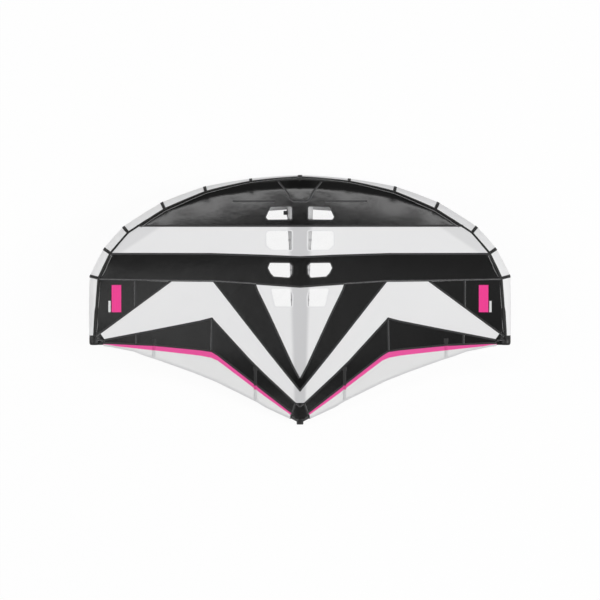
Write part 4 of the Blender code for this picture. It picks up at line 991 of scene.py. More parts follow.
# Front seam: the canopy's front edge is turned under and sewn with a row of grey stitches just inside
# the tape. Where the white band comes to the edge there is none.
WHITE_FRONT = (NOSE_Y - 0.3157 * CHORD, NOSE_Y - 0.2045 * CHORD)
FRONT_LOW = 0.013
FRONT_HIGH = 0.020
FRONT_STEPS = 16
front_line = bmesh.new()
for side in (1, -1):
    rows = []
    run = 0.0
    for k in range(FRONT_STEPS * SLEEVE_END + 1):
        station = k / FRONT_STEPS
        if WHITE_FRONT[0] < le_point(station, attach_angle(station)).y < WHITE_FRONT[1]:
            if len(rows) > 1:
                grid_cells(front_line, rows)
            rows = []
            continue
        radius = LE_AXIS[min(round(station), SLEEVE_END)][2]
        row = []
        for column in range(3):
            reach = FRONT_LOW + (FRONT_HIGH - FRONT_LOW) * column / 2
            angle = attach_angle(station) + reach / radius
            row.append((le_point(station, angle, CLOTH_GAP + CLOTH_THICK + le_swell(station, angle), side),
                        (run, reach)))
        run += le_length(min(int(station), SLEEVE_END)) / FRONT_STEPS
        rows.append(row)
    grid_cells(front_line, rows)
FRONT_THREAD = stitched("front_seam_thread", (0.03, 0.03, 0.03), (0.34, 0.34, 0.34),
                        (FRONT_LOW + FRONT_HIGH) / 2, 0.0024)
sewn_piece("front_seam", front_line, FRONT_THREAD, "black_cloth", way=off_leading_edge)

# Tip caps: moulded plugs of matt black nylon that close the two ends of the leading edge's sleeve, each
# with a collar and a round shoulder.
CAP_SIDES = 48
CAP_PROFILE = ((0, 0), (0.10, 0.0004), (0.12, -0.0010), (0.17, -0.0010), (0.19, 0.0004), (0.70, 0.0),
               (0.80, -0.0008), (0.89, -0.0028), (0.95, -0.0058), (0.985, -0.0095), (1.0, -0.0150))


def moulding(name, tone=0.007, dull=0.38):
    """Glass-filled nylon: a fine spark-eroded grain and a few paler scuffs."""
    finish = Finish(name)
    spot = finish.spot()
    grain = finish.clouds(spot, 0.0011, 2.0)
    scuffs = finish.clouds(spot, 0.021, 5.0, 0.7).ramp(0.60, 0.74)
    finish.feed(finish.shader, {
        "Base Color": finish.mix(scuffs * 0.5, (tone, tone, tone), (3 * tone, 3 * tone, 3 * tone)),
        "Roughness": dull + 0.16 * grain + 0.15 * scuffs,
        "Normal": finish.bump(grain, 0.00008)})
    return finish


def filled(name, rings, finish, sharp=40):
    """A closed solid through rings of points, with its sharper edges left crisp."""
    bm = bmesh.new()
    rows = walls(bm, rings)
    bm.faces.new(rows[0])
    bm.faces.new(rows[-1])
    bmesh.ops.recalc_face_normals(bm, faces=bm.faces)
    made = placed(name, bm, finish)
    made.data.set_sharp_from_angle(angle=math.radians(sharp))
    return made


PLASTIC = moulding("black_moulding")
for side, word in ((1, "right"), (-1, "left")):
    rings = [[le_point(SLEEVE_END + share, k * math.tau / CAP_SIDES, drop, side) for k in range(CAP_SIDES)]
             for share, drop in CAP_PROFILE]
    cap = filled(f"tip_cap_moulding_{word}", rings, PLASTIC, sharp=50)
    fitted(cap, "black_plastic", f"tip_cap_{word}")

# Handles: a bent bar of moulded nylon on two feet, which two screws hold to base plates on the strut.
# The flared leg ends run into the feet, and an oval pad round each foot spreads the load.
HANDLE_SHARES = (("front", 0.300), ("rear", 0.560))
HANDLE_LENGTH = 0.200
HAND_GAP = 0.050
BAR_RADIUS = 0.014
BAR_FLARE = 1.45
FLARE_FADE = 0.55
BAR_BEND = 0.030
FOOT_OUT = 0.010
FOOT_LENGTH = 0.058
FOOT_WIDTH = 0.036
FOOT_THICK = 0.006
FOOT_CORNER = 0.0144
FOOT_EDGE = 0.0015
EDGE_MIDDLE = 0.3
PLATE_LENGTH = 0.078
PLATE_THICK = 0.006
FIT_GAP = 0.0003
BAR_SIDES = 40
LEG_STEPS = 10
BEND_STEPS = 14


def strut_floor(share):
    return crest(share) - 2 * strut_radius(share)


def round_ring(centre, across, other, radius, sides):
    """A ring of points about a centre, in the plane of two directions."""
    turns = [k * math.tau / sides for k in range(sides)]
    return [centre + (across * math.cos(turn) + other * math.sin(turn)) * radius for turn in turns]


def bar_rings(path, radii):
    """Round sections along a path that lies in the middle plane."""
    rings = []
    for i, point in enumerate(path):
        along = (path[min(i + 1, len(path) - 1)] - path[max(i - 1, 0)]).normalized()
        across = Vector((1, 0, 0))
        rings.append(round_ring(point, across, along.cross(across), radii[i], BAR_SIDES))
    return rings


def round_slab(foot, length, width, thick, corner, edge, arc=8):
    """Rings of a plate with round corners and broken edges, from its underside up."""
    rings = []
    middle = edge * EDGE_MIDDLE
    for inset, lift in ((edge, 0), (middle, middle), (0, edge), (0, thick - edge), (middle, thick - middle),
                        (edge, thick)):
        ring = []
        for quarter, (sx, sy) in enumerate(((1, 1), (-1, 1), (-1, -1), (1, -1))):
            centre = foot + Vector((sx * (width / 2 - corner), sy * (length / 2 - corner), lift))
            for k in range(arc + 1):
                angle = (quarter + k / arc) * math.pi / 2
                ring.append(centre + Vector((math.cos(angle), math.sin(angle), 0)) * (corner - inset))
        rings.append(ring)
    return rings


def joined(name, pieces):
    """Several made pieces as one object."""
    bm = bmesh.new()
    for made in pieces:
        bm.from_mesh(made.data)
    mesh = bpy.data.meshes.new(name)
    bm.to_mesh(mesh)
    bm.free()
    mesh.materials.append(pieces[0].data.materials[0])
    for made in pieces:
        bpy.data.objects.remove(made, do_unlink=True)
    whole = bpy.data.objects.new(name, mesh)
    bpy.context.scene.collection.objects.link(whole)
    return whole


def hoop(name, rings, finish, sharp=40):
    """A ring-shaped solid through rings of points that close on themselves."""
    bm = bmesh.new()
    walls(bm, rings, back=True)
    bmesh.ops.recalc_face_normals(bm, faces=bm.faces)
    made = placed(name, bm, finish)
    made.data.set_sharp_from_angle(angle=math.radians(sharp))
    return made


FOAM = Finish("grip_foam", Roughness=0.85, Specular_IOR_Level=0.3)
foam_spot = FOAM.spot()
foam_cells = FOAM.clouds(foam_spot, 0.0012, 3.0, 0.6)
foam_wear = FOAM.clouds(foam_spot, 0.03, 4.0).ramp(0.45, 0.75)
FOAM.feed(FOAM.shader, {
    "Base Color": FOAM.mix(foam_wear, (0.020, 0.020, 0.021), (0.034, 0.034, 0.035)),
    "Normal": FOAM.bump(foam_cells, 0.0003)})
GRIP_THICK = 0.0035
GRIP_RIB = 0.0012
GRIP_RIBS = 7
RIB_FLAT = 1.6
RIB_FULLNESS = 0.8
GRIP_ROWS = 98
GRIP_END_ROWS = 3
GRIP_END_THICK = 0.35
for word, share in HANDLE_SHARES:
    middle = NOSE_Y - share * CHORD
    feet = []
    for sign in (1, -1):
        y = middle + sign * HANDLE_LENGTH / 2
        out = y + sign * FOOT_OUT
        ends = (out - PLATE_LENGTH / 2, out + PLATE_LENGTH / 2)
        feet.append((sign, y, out, min(strut_floor((NOSE_Y - e) / CHORD) for e in ends) - PLATE_THICK))
    bar_z = min(low for _, _, _, low in feet) - HAND_GAP - BAR_RADIUS
    path = []
    radii = []
    for sign, y, out, low in feet:
        corner = Vector((0, y - sign * BAR_BEND, bar_z + BAR_BEND))
        top_z = low - FIT_GAP - FOOT_THICK
        leg = [Vector((0, y, top_z + FOOT_THICK / 2 - (top_z - corner.z) * (k / LEG_STEPS)))
               for k in range(LEG_STEPS)]
        girth = [BAR_RADIUS * (1 + (BAR_FLARE - 1) * math.exp(-FLARE_FADE * k)) for k in range(LEG_STEPS)]
        for k in range(BEND_STEPS + 1):
            angle = k / BEND_STEPS * math.pi / 2
            leg.append(corner + Vector((0, sign * math.cos(angle), -math.sin(angle))) * BAR_BEND)
            girth.append(BAR_RADIUS)
        path = path + leg if sign > 0 else path + leg[::-1]
        radii = radii + girth if sign > 0 else radii + girth[::-1]
    pieces = [filled("bar", bar_rings(path, radii), PLASTIC)]
    for sign, y, out, low in feet:
        foot = Vector((0, out, low - FIT_GAP - FOOT_THICK))
        pieces.append(filled("foot", round_slab(foot, FOOT_LENGTH, FOOT_WIDTH, FOOT_THICK, FOOT_CORNER,
                                                FOOT_EDGE), PLASTIC))
    fitted(joined(f"{word}_handle_moulding", pieces), "black_plastic", f"{word}_handle_bar")

    # The grip: a sleeve of closed-cell foam with raised ribs, slid over the bar before its feet go on.
    start = middle + HANDLE_LENGTH / 2 - BAR_BEND - BAR_RADIUS / 2
    grip_length = HANDLE_LENGTH - 2 * BAR_BEND - BAR_RADIUS
    bore = BAR_RADIUS + FIT_GAP
    profile = [(start, bore)]
    for row in range(GRIP_ROWS + 1):
        along = row / GRIP_ROWS
        rib = min(1, RIB_FLAT * abs(math.sin(math.pi * GRIP_RIBS * along)) ** RIB_FULLNESS)
        end = min(1, min(row, GRIP_ROWS - row) / GRIP_END_ROWS) ** 0.5
        thick = (GRIP_THICK - GRIP_RIB + GRIP_RIB * rib) * (GRIP_END_THICK + (1 - GRIP_END_THICK) * end)
        profile.append((start - along * grip_length, bore + thick))
    profile.append((start - grip_length, bore))
    rings = [round_ring(Vector((0, y, bar_z)), Vector((1, 0, 0)), Vector((0, 0, 1)), radius, BAR_SIDES)
             for y, radius in profile]
    grip = hoop(f"{word}_grip_foam", rings, FOAM, sharp=60)
    fitted(grip, "foam_grip", f"{word}_grip")

# Hand strap: a soft strap of webbing along the underside of the leading edge at the nose, sewn down
# at both ends and standing off the tube between them, for carrying the wing by.
STRAP_HALF_LENGTH = 0.130
STRAP_WIDTH = 0.036
STRAP_THICK = 0.0025
STRAP_PAD = 0.0009
STRAP_GAP = 0.016
STRAP_ANGLE = math.radians(-45)
STRAP_RAISED_SHARE = 0.82
STRAP_FULLNESS = 0.6
STRAP_ROWS = 56
STRAP_COLUMNS = 8
STRAP_WEBBING = webbing("strap_webbing", (0.010, 0.010, 0.010), 0.0030)
reach = STRAP_HALF_LENGTH / le_length(0)
strap = bmesh.new()
strap_rows = []
strap_run = 0.0
for i in range(STRAP_ROWS + 1):
    share = 2 * i / STRAP_ROWS - 1
    bow = math.cos(min(abs(share) / STRAP_RAISED_SHARE, 1) * math.pi / 2)
    rise = max(bow, 0) ** STRAP_FULLNESS * STRAP_GAP
    cells = []
    for j in range(STRAP_COLUMNS + 1):
        edge = 2 * j / STRAP_COLUMNS - 1
        angle = STRAP_ANGLE + edge * STRAP_WIDTH / 2 / LE_RADIUS
        pad = STRAP_PAD * math.cos(edge * math.pi / 2) ** 0.5 if abs(edge) < 1 else 0
        cells.append((le_point(abs(share) * reach, angle, FIT_GAP + SEGMENT_SWELL + rise + pad,
                               1 if share >= 0 else -1), (strap_run, edge * STRAP_WIDTH / 2)))
    strap_run += 2 * STRAP_HALF_LENGTH / STRAP_ROWS
    strap_rows.append(cells)
grid_cells(strap, strap_rows)
strap_piece = sewn_piece("hand_strap_webbing", strap, STRAP_WEBBING, "tape", "hand_strap",
                         thick=STRAP_THICK, way=off_leading_edge)

# Leash loop: black webbing folded into a loop that hangs under the strut, with its flat top sewn to the
# sleeve. The rider's leash is tied to it.
LOOP_SHARE = 0.196
LOOP_WIDTH = 0.025
LOOP_DROP = 0.030
LOOP_HALF = 0.016
LOOP_FOLD = 0.002
LOOP_THICK = 0.0024
LOOP_STEPS = 20
LOOP_CELL = 0.004
loop_top = min(strut_floor(LOOP_SHARE + end * LOOP_WIDTH / 2 / CHORD) for end in (-1, 1)) - FIT_GAP
loop_y = NOSE_Y - LOOP_SHARE * CHORD
loop_line = [Vector((-LOOP_HALF * k / 4, 0, loop_top)) for k in range(4)]
loop_line += [Vector((-LOOP_HALF, 0, loop_top - LOOP_FOLD))]
loop_bend = Vector((0, 0, loop_top - LOOP_DROP + LOOP_HALF))
for k in range(LOOP_STEPS + 1):
    angle = math.pi * (1 + k / LOOP_STEPS)
    loop_line.append(loop_bend + Vector((math.cos(angle), 0, math.sin(angle))) * LOOP_HALF)
loop_line += [Vector((LOOP_HALF, 0, loop_top - LOOP_FOLD))]
loop_line += [Vector((LOOP_HALF * k / 4, 0, loop_top)) for k in (3, 2, 1)]
loop_rows = []
for i, point in enumerate(loop_line + loop_line[:1]):
    edges = [(j / 3 - 1) * LOOP_WIDTH / 2 for j in range(7)]
    loop_rows.append([(point + Vector((0, loop_y + edge, 0)), (i * LOOP_CELL, edge)) for edge in edges])
loop_mesh = bmesh.new()
grid_cells(loop_mesh, loop_rows)
bmesh.ops.remove_doubles(loop_mesh, verts=loop_mesh.verts, dist=WELD)
bmesh.ops.recalc_face_normals(loop_mesh, faces=loop_mesh.faces)
loop_piece = placed("leash_loop_webbing", loop_mesh, STRAP_WEBBING)
thickened(loop_piece, LOOP_THICK, -1)
fitted(loop_piece, "tape", "leash_loop")

# Strut seams: tape over each of the strut's segment seams, sewn through with a double row. The first
# seam lies just behind the valve's flange.
STRUT_TAPE_HALF = 0.009
STRUT_TAPE_ARC = math.radians(129)
STRUT_TAPE_LIFT = 0.0014
STRUT_TAPE_STEPS = 40
FIRST_TAPE_SHARE = 0.179


def off_strut(spot):
    """The way out of the strut at a spot on it."""
    share = (NOSE_Y - spot.y) / CHORD
    return spot - Vector((0, spot.y, crest(share) - strut_radius(share)))


strut_tape = bmesh.new()
for share in (FIRST_TAPE_SHARE, *(v for v, _ in STRUT_SHARES[2:-1])):
    rows = []
    for i in range(STRUT_TAPE_STEPS + 1):
        angle = (2 * i / STRUT_TAPE_STEPS - 1) * STRUT_TAPE_ARC
        cells = []
        for j in range(5):
            across = (j / 2 - 1) * STRUT_TAPE_HALF
            v = share + across / CHORD
            run = (angle + STRUT_TAPE_ARC) * (strut_radius(v) + STRUT_TAPE_LIFT)
            cells.append((strut_point(v, angle - math.pi / 2, STRUT_TAPE_LIFT), (run, across)))
        rows.append(cells)
    grid_cells(strut_tape, rows)
STRUT_THREAD = stitched("strut_tape", (0.70, 0.70, 0.71), (0.35, 0.35, 0.36), 0, 0.010)
sewn_piece("strut_seam_tape", strut_tape, STRUT_THREAD, "sailcloth", way=off_strut)

# Strut end cap: a moulded barrel over the strut's rear end, with a round boss that the canopy's two
# corner straps are screwed down on, and a flat skid that the wing rests on behind.
END_CAP_SHARES = ((0.963, 0.0), (0.9632, 0.0014), (0.966, 0.0020), (0.977, 0.0020), (0.985, 0.0020),
                  (0.9925, 0.0005), (0.9945, -0.0030), (0.9955, -0.0090))
BOSS_SHARE = 0.9815
BOSS_RISE = 0.0030
BOSS_SIDES = 40
BOSS_PROFILE = ((-0.030, 0.0225), (-0.0022, 0.0225), (-0.0006, 0.0219), (0, 0.0205), (0, 0.0070),
                (-0.0012, 0.0064), (-0.0012, 0.0030))
SKID_LENGTH = 0.026
SKID_WIDTH = 0.049
SKID_THICK = 0.014
SKID_CORNER = 0.008
SKID_EDGE = 0.0015
barrel = [[strut_point(v, k * math.tau / STRUT_SIDES, FIT_GAP + proud) for k in range(STRUT_SIDES)]
          for v, proud in END_CAP_SHARES]
boss_spot = Vector((0, NOSE_Y - BOSS_SHARE * CHORD, crest(STRUT_SHARES[-1][0]) + BOSS_RISE))
boss = [round_ring(boss_spot + Vector((0, 0, up)), Vector((1, 0, 0)), Vector((0, 1, 0)), radius, BOSS_SIDES)
        for up, radius in BOSS_PROFILE]
skid = round_slab(Vector((0, NOSE_Y - CHORD + SKID_LENGTH / 2, 0)), SKID_LENGTH, SKID_WIDTH, SKID_THICK,
                  SKID_CORNER, SKID_EDGE)
fitted(joined("strut_end_cap_moulding", [filled("barrel", barrel, PLASTIC), filled("boss", boss, PLASTIC),
                                         filled("skid", skid, PLASTIC)]), "black_plastic", "strut_end_cap")

# Corner straps: polyester webbing from each rear corner of the canopy to the boss, drawn tight so
# that the trailing edge stays taut.
CORNER_STRAP_HALF = 0.011
CORNER_STRAP_THICK = 0.0016
CORNER_STRAP_FRONT = (0.0615, 0.9690)
CORNER_STRAP_REAR = (0.0150, 0.9830)
CORNER_STRAP_LIFT = 0.0012
BOSS_LAP = 0.0004
CORNER_STRAP_LENGTH = 0.05
CORNER_STRAP_BOW = 0.003
CORNER_STRAP_STEPS = 12
CORNER_WEBBING = webbing("corner_webbing", (0.030, 0.030, 0.031), 0.0024)
corner_straps = bmesh.new()
for side in (1, -1):
    rows = []
    start, end = [Vector((x, NOSE_Y - v * CHORD)) for x, v in (CORNER_STRAP_FRONT, CORNER_STRAP_REAR)]
    start_z = laid(start.x, start.y, CORNER_STRAP_LIFT)
    end_z = boss_spot.z - BOSS_LAP
    along = (end - start).normalized()
    left = Vector((-along.y, along.x))
    for i in range(CORNER_STRAP_STEPS + 1):
        share = i / CORNER_STRAP_STEPS
        z = start_z + (end_z - start_z) * share + CORNER_STRAP_BOW * math.sin(math.pi * share)
        row = []
        for j in range(5):
            across = (j / 2 - 1) * CORNER_STRAP_HALF
            spot = start.lerp(end, share) + left * across
            row.append((Vector((side * spot.x, spot.y, z)), (share * CORNER_STRAP_LENGTH, across)))
        rows.append(row)
    grid_cells(corner_straps, rows)
sewn_piece("corner_straps", corner_straps, CORNER_WEBBING, "tape", thick=CORNER_STRAP_THICK)

# Base plates: moulded plates welded to the strut's underside, hollowed to its curve, one under each
# handle foot.
PLATE_WIDTH = 0.052
PLATE_CORNER = PLATE_WIDTH / 3
PLATE_EDGE = 0.0012
PLATE_RIM = 0.002
PLATE_INNER_SHARE = 0.5


def strut_under(x, y):
    """A height on the strut's underside, a fitting gap below its cloth."""
    share = (NOSE_Y - y) / CHORD
    radius = strut_radius(share) + FIT_GAP
    return crest(share) - strut_radius(share) - math.sqrt(max(radius ** 2 - x ** 2, 0))


for word, share in HANDLE_SHARES:
    middle = NOSE_Y - share * CHORD
    for sign, end_word in ((1, "front"), (-1, "rear")):
        out = middle + sign * (HANDLE_LENGTH / 2 + FOOT_OUT)
        ends = (out - PLATE_LENGTH / 2, out + PLATE_LENGTH / 2)
        low = min(strut_floor((NOSE_Y - e) / CHORD) for e in ends) - PLATE_THICK
        rings = round_slab(Vector((0, out, low)), PLATE_LENGTH, PLATE_WIDTH, PLATE_THICK, PLATE_CORNER,
                           PLATE_EDGE)[:4]
        rings[-1] = [Vector((p.x, p.y, max(strut_under(p.x, p.y), low + PLATE_RIM))) for p in rings[-1]]
        inner = []
        for p in rings[-1]:
            x = p.x * PLATE_INNER_SHARE
            y = out + (p.y - out) * PLATE_INNER_SHARE
            inner.append(Vector((x, y, strut_under(x, y))))
        plate = filled(f"{word}_plate_moulding_{end_word}", rings + [inner], PLASTIC, sharp=50)
        fitted(plate, "black_plastic", f"{word}_base_plate_{end_word}")

# Inflation valve on the strut's left flank: a body with a flange welded to the cloth, an insert that
# locks in it with a quarter turn, the flap inside it that lets no air back, and a hinged plug.
VALVE_SHARE = (2 * LE_RADIUS + 0.035951) / CHORD
VALVE_X = -strut_radius(VALVE_SHARE)
VALVE_Y = NOSE_Y - VALVE_SHARE * CHORD
VALVE_Z = crest(VALVE_SHARE) - strut_radius(VALVE_SHARE)
FLANGE_RADIUS = 0.0325
NECK_RADIUS = 0.015
NECK_BORE = 0.011
NECK_LENGTH = 0.022
VALVE_SIDES = 112
GRIP_LOBES = 14
EDGE_BREAK = 0.0003
NECK_PROFILE = ((-0.006, NECK_BORE), (-0.006, NECK_RADIUS - 0.001), (0.004, NECK_RADIUS - 0.0006),
                (0.0175, NECK_RADIUS - 0.0006), (0.0182, NECK_RADIUS), (0.0213, NECK_RADIUS),
                (NECK_LENGTH, NECK_RADIUS - 0.0007), (NECK_LENGTH, NECK_BORE + 0.0006), (0.0214, NECK_BORE))
FLANGE_PROFILE = ((0.0130, 0.0040), (0.0150, 0.0046), (0.0170, 0.0034), (0.0200, 0.0026), (0.0300, 0.0022),
                  (FLANGE_RADIUS - 0.0006, 0.0018), (FLANGE_RADIUS, 0.0010),
                  (FLANGE_RADIUS - 0.0004, 0.0003), (0.0130, 0.0003))


def turned_out(profile, lobes=0.0):
    """Rings about the valve's axis from (outward, radius) pairs, with shallow grip lobes if asked."""
    rings = []
    for out, radius in profile:
        ring = []
        for k in range(VALVE_SIDES):
            angle = k * math.tau / VALVE_SIDES
            reach = radius + lobes * math.cos(GRIP_LOBES * angle)
            ring.append(Vector((VALVE_X - out, VALVE_Y + reach * math.cos(angle),
                                VALVE_Z + reach * math.sin(angle))))
        rings.append(ring)
    return rings


def on_flank(ring, proud):
    """A ring moved onto the strut's flank, and a little proud of it."""
    moved = []
    for p in ring:
        reach = strut_radius((NOSE_Y - p.y) / CHORD) + proud
        moved.append(Vector((-math.sqrt(reach ** 2 - (p.z - VALVE_Z) ** 2), p.y, p.z)))
    return moved


def rod(name, start, end, radius, finish, sides=24):
    """A round pin between two points, with its edges broken."""
    along = (end - start).normalized()
    across = along.orthogonal().normalized()
    edge = min(EDGE_BREAK, radius / 4)
    rings = [round_ring(spot, across, along.cross(across), reach, sides) for spot, reach in
             ((start, radius - edge), (start + along * edge, radius), (end - along * edge, radius),
              (end, radius - edge))]
    return filled(name, rings, finish)


def block(name, low, high, finish, edge=EDGE_BREAK):
    """A small bar with its upright edges broken, between two opposite corners."""
    a = Vector([min(p, q) for p, q in zip(low, high)])
    b = Vector([max(p, q) for p, q in zip(low, high)])
    rings = []
    for z in (a.z, b.z):
        rings.append([Vector((x, y, z)) for x, y in (
            (a.x + edge, a.y), (b.x - edge, a.y), (b.x, a.y + edge), (b.x, b.y - edge),
            (b.x - edge, b.y), (a.x + edge, b.y), (a.x, b.y - edge), (a.x, a.y + edge))])
    return filled(name, rings, finish)


neck = hoop("neck", turned_out(NECK_PROFILE), PLASTIC)
flange_rings = turned_out([(0, radius) for radius, _ in FLANGE_PROFILE])
flange = hoop("flange", [on_flank(ring, proud) for ring, (_, proud) in zip(flange_rings, FLANGE_PROFILE)],
              PLASTIC)
KNUCKLE_RADIUS = 0.0026
KNUCKLE_WIDTH = 0.006
KNUCKLE_SIDES = 24
CHEEK_WIDTH = 0.0022
CHEEK_FOOT = 0.0136
PIN_RADIUS = 0.0011
HINGE_BACK = 0.0032
HINGE_CLEAR = 0.0006
hinge = Vector((VALVE_X - NECK_LENGTH + HINGE_BACK, VALVE_Y,
                VALVE_Z + NECK_RADIUS + KNUCKLE_RADIUS + HINGE_CLEAR))
body_pieces = [neck, flange]
for sign in (1, -1):
    near = sign * (KNUCKLE_WIDTH / 2 + FIT_GAP)
    body_pieces.append(block("cheek", (hinge.x + KNUCKLE_RADIUS, VALVE_Y + near, VALVE_Z + CHEEK_FOOT),
                             (hinge.x - KNUCKLE_RADIUS, VALVE_Y + near + sign * CHEEK_WIDTH,
                              hinge.z + KNUCKLE_RADIUS), PLASTIC))
half_pin = Vector((0, KNUCKLE_WIDTH / 2 + CHEEK_WIDTH / 2, 0))
body_pieces.append(rod("pin", hinge - half_pin, hinge + half_pin, PIN_RADIUS, PLASTIC))
fitted(joined("valve_body_moulding", body_pieces), "black_plastic", "valve_body")

INSERT_OUTER = NECK_BORE - FIT_GAP
INSERT_BORE = INSERT_OUTER - 0.0024
INSERT_STOP = INSERT_BORE - 0.0022
INSERT_PROFILE = ((-0.006, INSERT_STOP), (-0.006, INSERT_OUTER - 0.0003), (-0.0057, INSERT_OUTER),
                  (0.0176, INSERT_OUTER), (0.018, INSERT_OUTER - 0.0004), (0.018, INSERT_BORE + 0.0004),
                  (0.0176, INSERT_BORE), (-0.0036, INSERT_BORE), (-0.0036, INSERT_STOP))
insert = hoop("valve_insert_moulding", turned_out(INSERT_PROFILE), PLASTIC)
fitted(insert, "black_plastic", "valve_insert", body="insert")

SILICONE = Finish("grey_silicone", Roughness=0.5)
milky = SILICONE.clouds(SILICONE.spot(), 0.003)
SILICONE.feed(SILICONE.shader, {"Base Color": SILICONE.mix(milky, (0.30, 0.31, 0.32), (0.38, 0.39, 0.40))})
FLAP_PROFILE = ((-0.0075, INSERT_BORE - 0.0008), (-0.0072, INSERT_BORE - FIT_GAP),
                (-0.0066, INSERT_BORE - FIT_GAP), (-0.0063, INSERT_BORE - 0.0008))
flap = filled("valve_flap_disc", turned_out(FLAP_PROFILE), SILICONE)
fitted(flap, "silicone", "valve_flap", body="flap")

PLUG_SEAT = NECK_LENGTH + FIT_GAP
PLUG_THICK = 0.0045
PLUG_LOBES = 0.0001
DISC_PROFILE = ((0, 0.0146), (0.0003, 0.0149), (0.0031, 0.0149), (0.0042, 0.0140), (PLUG_THICK, 0.0132),
                (PLUG_THICK, 0.0110), (0.0038, 0.0104), (0.0038, 0.0020))
SKIRT_OUTER = INSERT_OUTER - 0.0006
SKIRT_INNER = SKIRT_OUTER - 0.0018
SKIRT_PROFILE = ((-0.0025, SKIRT_INNER), (-0.0025, SKIRT_OUTER - 0.0003), (-0.0022, SKIRT_OUTER),
                 (0.001, SKIRT_OUTER), (0.001, SKIRT_INNER))
TAB_THICK = 0.0024
TAB_TOP = 0.0008
ARM_BACK = 0.00192
ARM_HALF_WIDTH = 0.00288
ARM_HALF_THICK = 0.0012
disc = filled("disc", turned_out([(PLUG_SEAT + out, radius) for out, radius in DISC_PROFILE], PLUG_LOBES),
              PLASTIC)
skirt = hoop("skirt", turned_out([(PLUG_SEAT + out, radius) for out, radius in SKIRT_PROFILE]), PLASTIC)
half = KNUCKLE_WIDTH / 2
knuckle = hoop("knuckle", [round_ring(hinge + Vector((0, y, 0)), Vector((1, 0, 0)), Vector((0, 0, 1)),
                                      radius, KNUCKLE_SIDES)
                           for y, radius in ((-half, KNUCKLE_RADIUS), (half, KNUCKLE_RADIUS),
                                             (half, PIN_RADIUS + FIT_GAP), (-half, PIN_RADIUS + FIT_GAP))],
               PLASTIC)
seat_x = VALVE_X - PLUG_SEAT
tab = block("tab", (seat_x - FIT_GAP, VALVE_Y - half, VALVE_Z + NECK_BORE),
            (seat_x - TAB_THICK, VALVE_Y + half, hinge.z + TAB_TOP), PLASTIC)
arm = block("arm", (hinge.x - PIN_RADIUS - 2 * FIT_GAP, VALVE_Y - ARM_HALF_WIDTH, hinge.z - ARM_HALF_THICK),
            (seat_x - ARM_BACK, VALVE_Y + ARM_HALF_WIDTH, hinge.z + ARM_HALF_THICK), PLASTIC)
plug = joined("valve_plug_moulding", [disc, skirt, knuckle, tab, arm])
fitted(plug, "black_plastic", "valve_plug", body="plug")

# Zip in the strut's underside, that the bladder goes in by: two tapes sewn to the sleeve and a chain
# of moulded teeth, with the slider parked at its front end.
ZIP_SHARES = (0.765, 0.855)
ZIP_PITCH = 0.0030
ZIP_TOOTH = 0.0018
ZIP_THICK = 0.0022
ZIP_LIFT = 0.0004
ZIP_START = 0.0001
TOOTH_ROOT = (-0.0006, 0.0032, 1)
TOOTH_HEAD = (-0.0012, 0.0040, 0.85)
zip_ends = [Vector((0, NOSE_Y - v * CHORD, strut_floor(v))) for v in ZIP_SHARES]
zip_back = (zip_ends[1] - zip_ends[0]).normalized()
zip_down = Vector((1, 0, 0)).cross(zip_back)
zip_down = zip_down if zip_down.z < 0 else -zip_down
zip_length = (zip_ends[1] - zip_ends[0]).length
teeth = bmesh.new()
for n in range(int(zip_length / ZIP_PITCH)):
    for half, side in enumerate((1, -1)):
        start = zip_ends[0] + zip_back * ((n + half / 2) * ZIP_PITCH + ZIP_START)
        for vert in bmesh.ops.create_cube(teeth, size=1.0)["verts"]:
            a, b, c = vert.co + Vector((0.5, 0.5, 0.5))
            inner, width, long = TOOTH_HEAD if c > 0.5 else TOOTH_ROOT
            vert.co = (start + zip_back * (b * ZIP_TOOTH * long) + Vector((side * (inner + a * width), 0, 0))
                       + zip_down * (FIT_GAP + ZIP_LIFT + c * (ZIP_THICK - ZIP_LIFT)))
bmesh.ops.recalc_face_normals(teeth, faces=teeth.faces)
zip_teeth = placed("zip_teeth", teeth, PLASTIC)
zip_teeth.data.set_sharp_from_angle(angle=math.radians(30))
fitted(zip_teeth, "black_plastic", "zip_chain")
ZIP_TAPE_INNER = 0.0006
ZIP_TAPE_OUTER = 0.013
ZIP_TAPE_ENDS = 0.012
ZIP_TAPE_STEPS = 24
ZIP_TAPE_CELL = 0.008
ZIP_TAPE_LIFT = 0.0011
ZIP_TAPE_THICK = 0.0004
zip_tape = bmesh.new()
for side in (1, -1):
    rows = []
    for i in range(ZIP_TAPE_STEPS + 1):
        past = ZIP_TAPE_ENDS / CHORD
        v = ZIP_SHARES[0] - past + (ZIP_SHARES[1] - ZIP_SHARES[0] + 2 * past) * i / ZIP_TAPE_STEPS
        cells = []
        for j in range(7):
            across = ZIP_TAPE_INNER + (ZIP_TAPE_OUTER - ZIP_TAPE_INNER) * j / 6
            angle = -math.pi / 2 + side * across / (strut_radius(v) + ZIP_TAPE_LIFT)
            cells.append((strut_point(v, angle, ZIP_TAPE_LIFT), (i * ZIP_TAPE_CELL, across)))
        rows.append(cells)
    grid_cells(zip_tape, rows)
ZIP_THREAD = stitched("zip_tape", (0.016, 0.016, 0.017), (0.05, 0.05, 0.05), 0.0095, 0.0028)
sewn_piece("zip_tape", zip_tape, ZIP_THREAD, "tape", thick=ZIP_TAPE_THICK, way=off_strut)

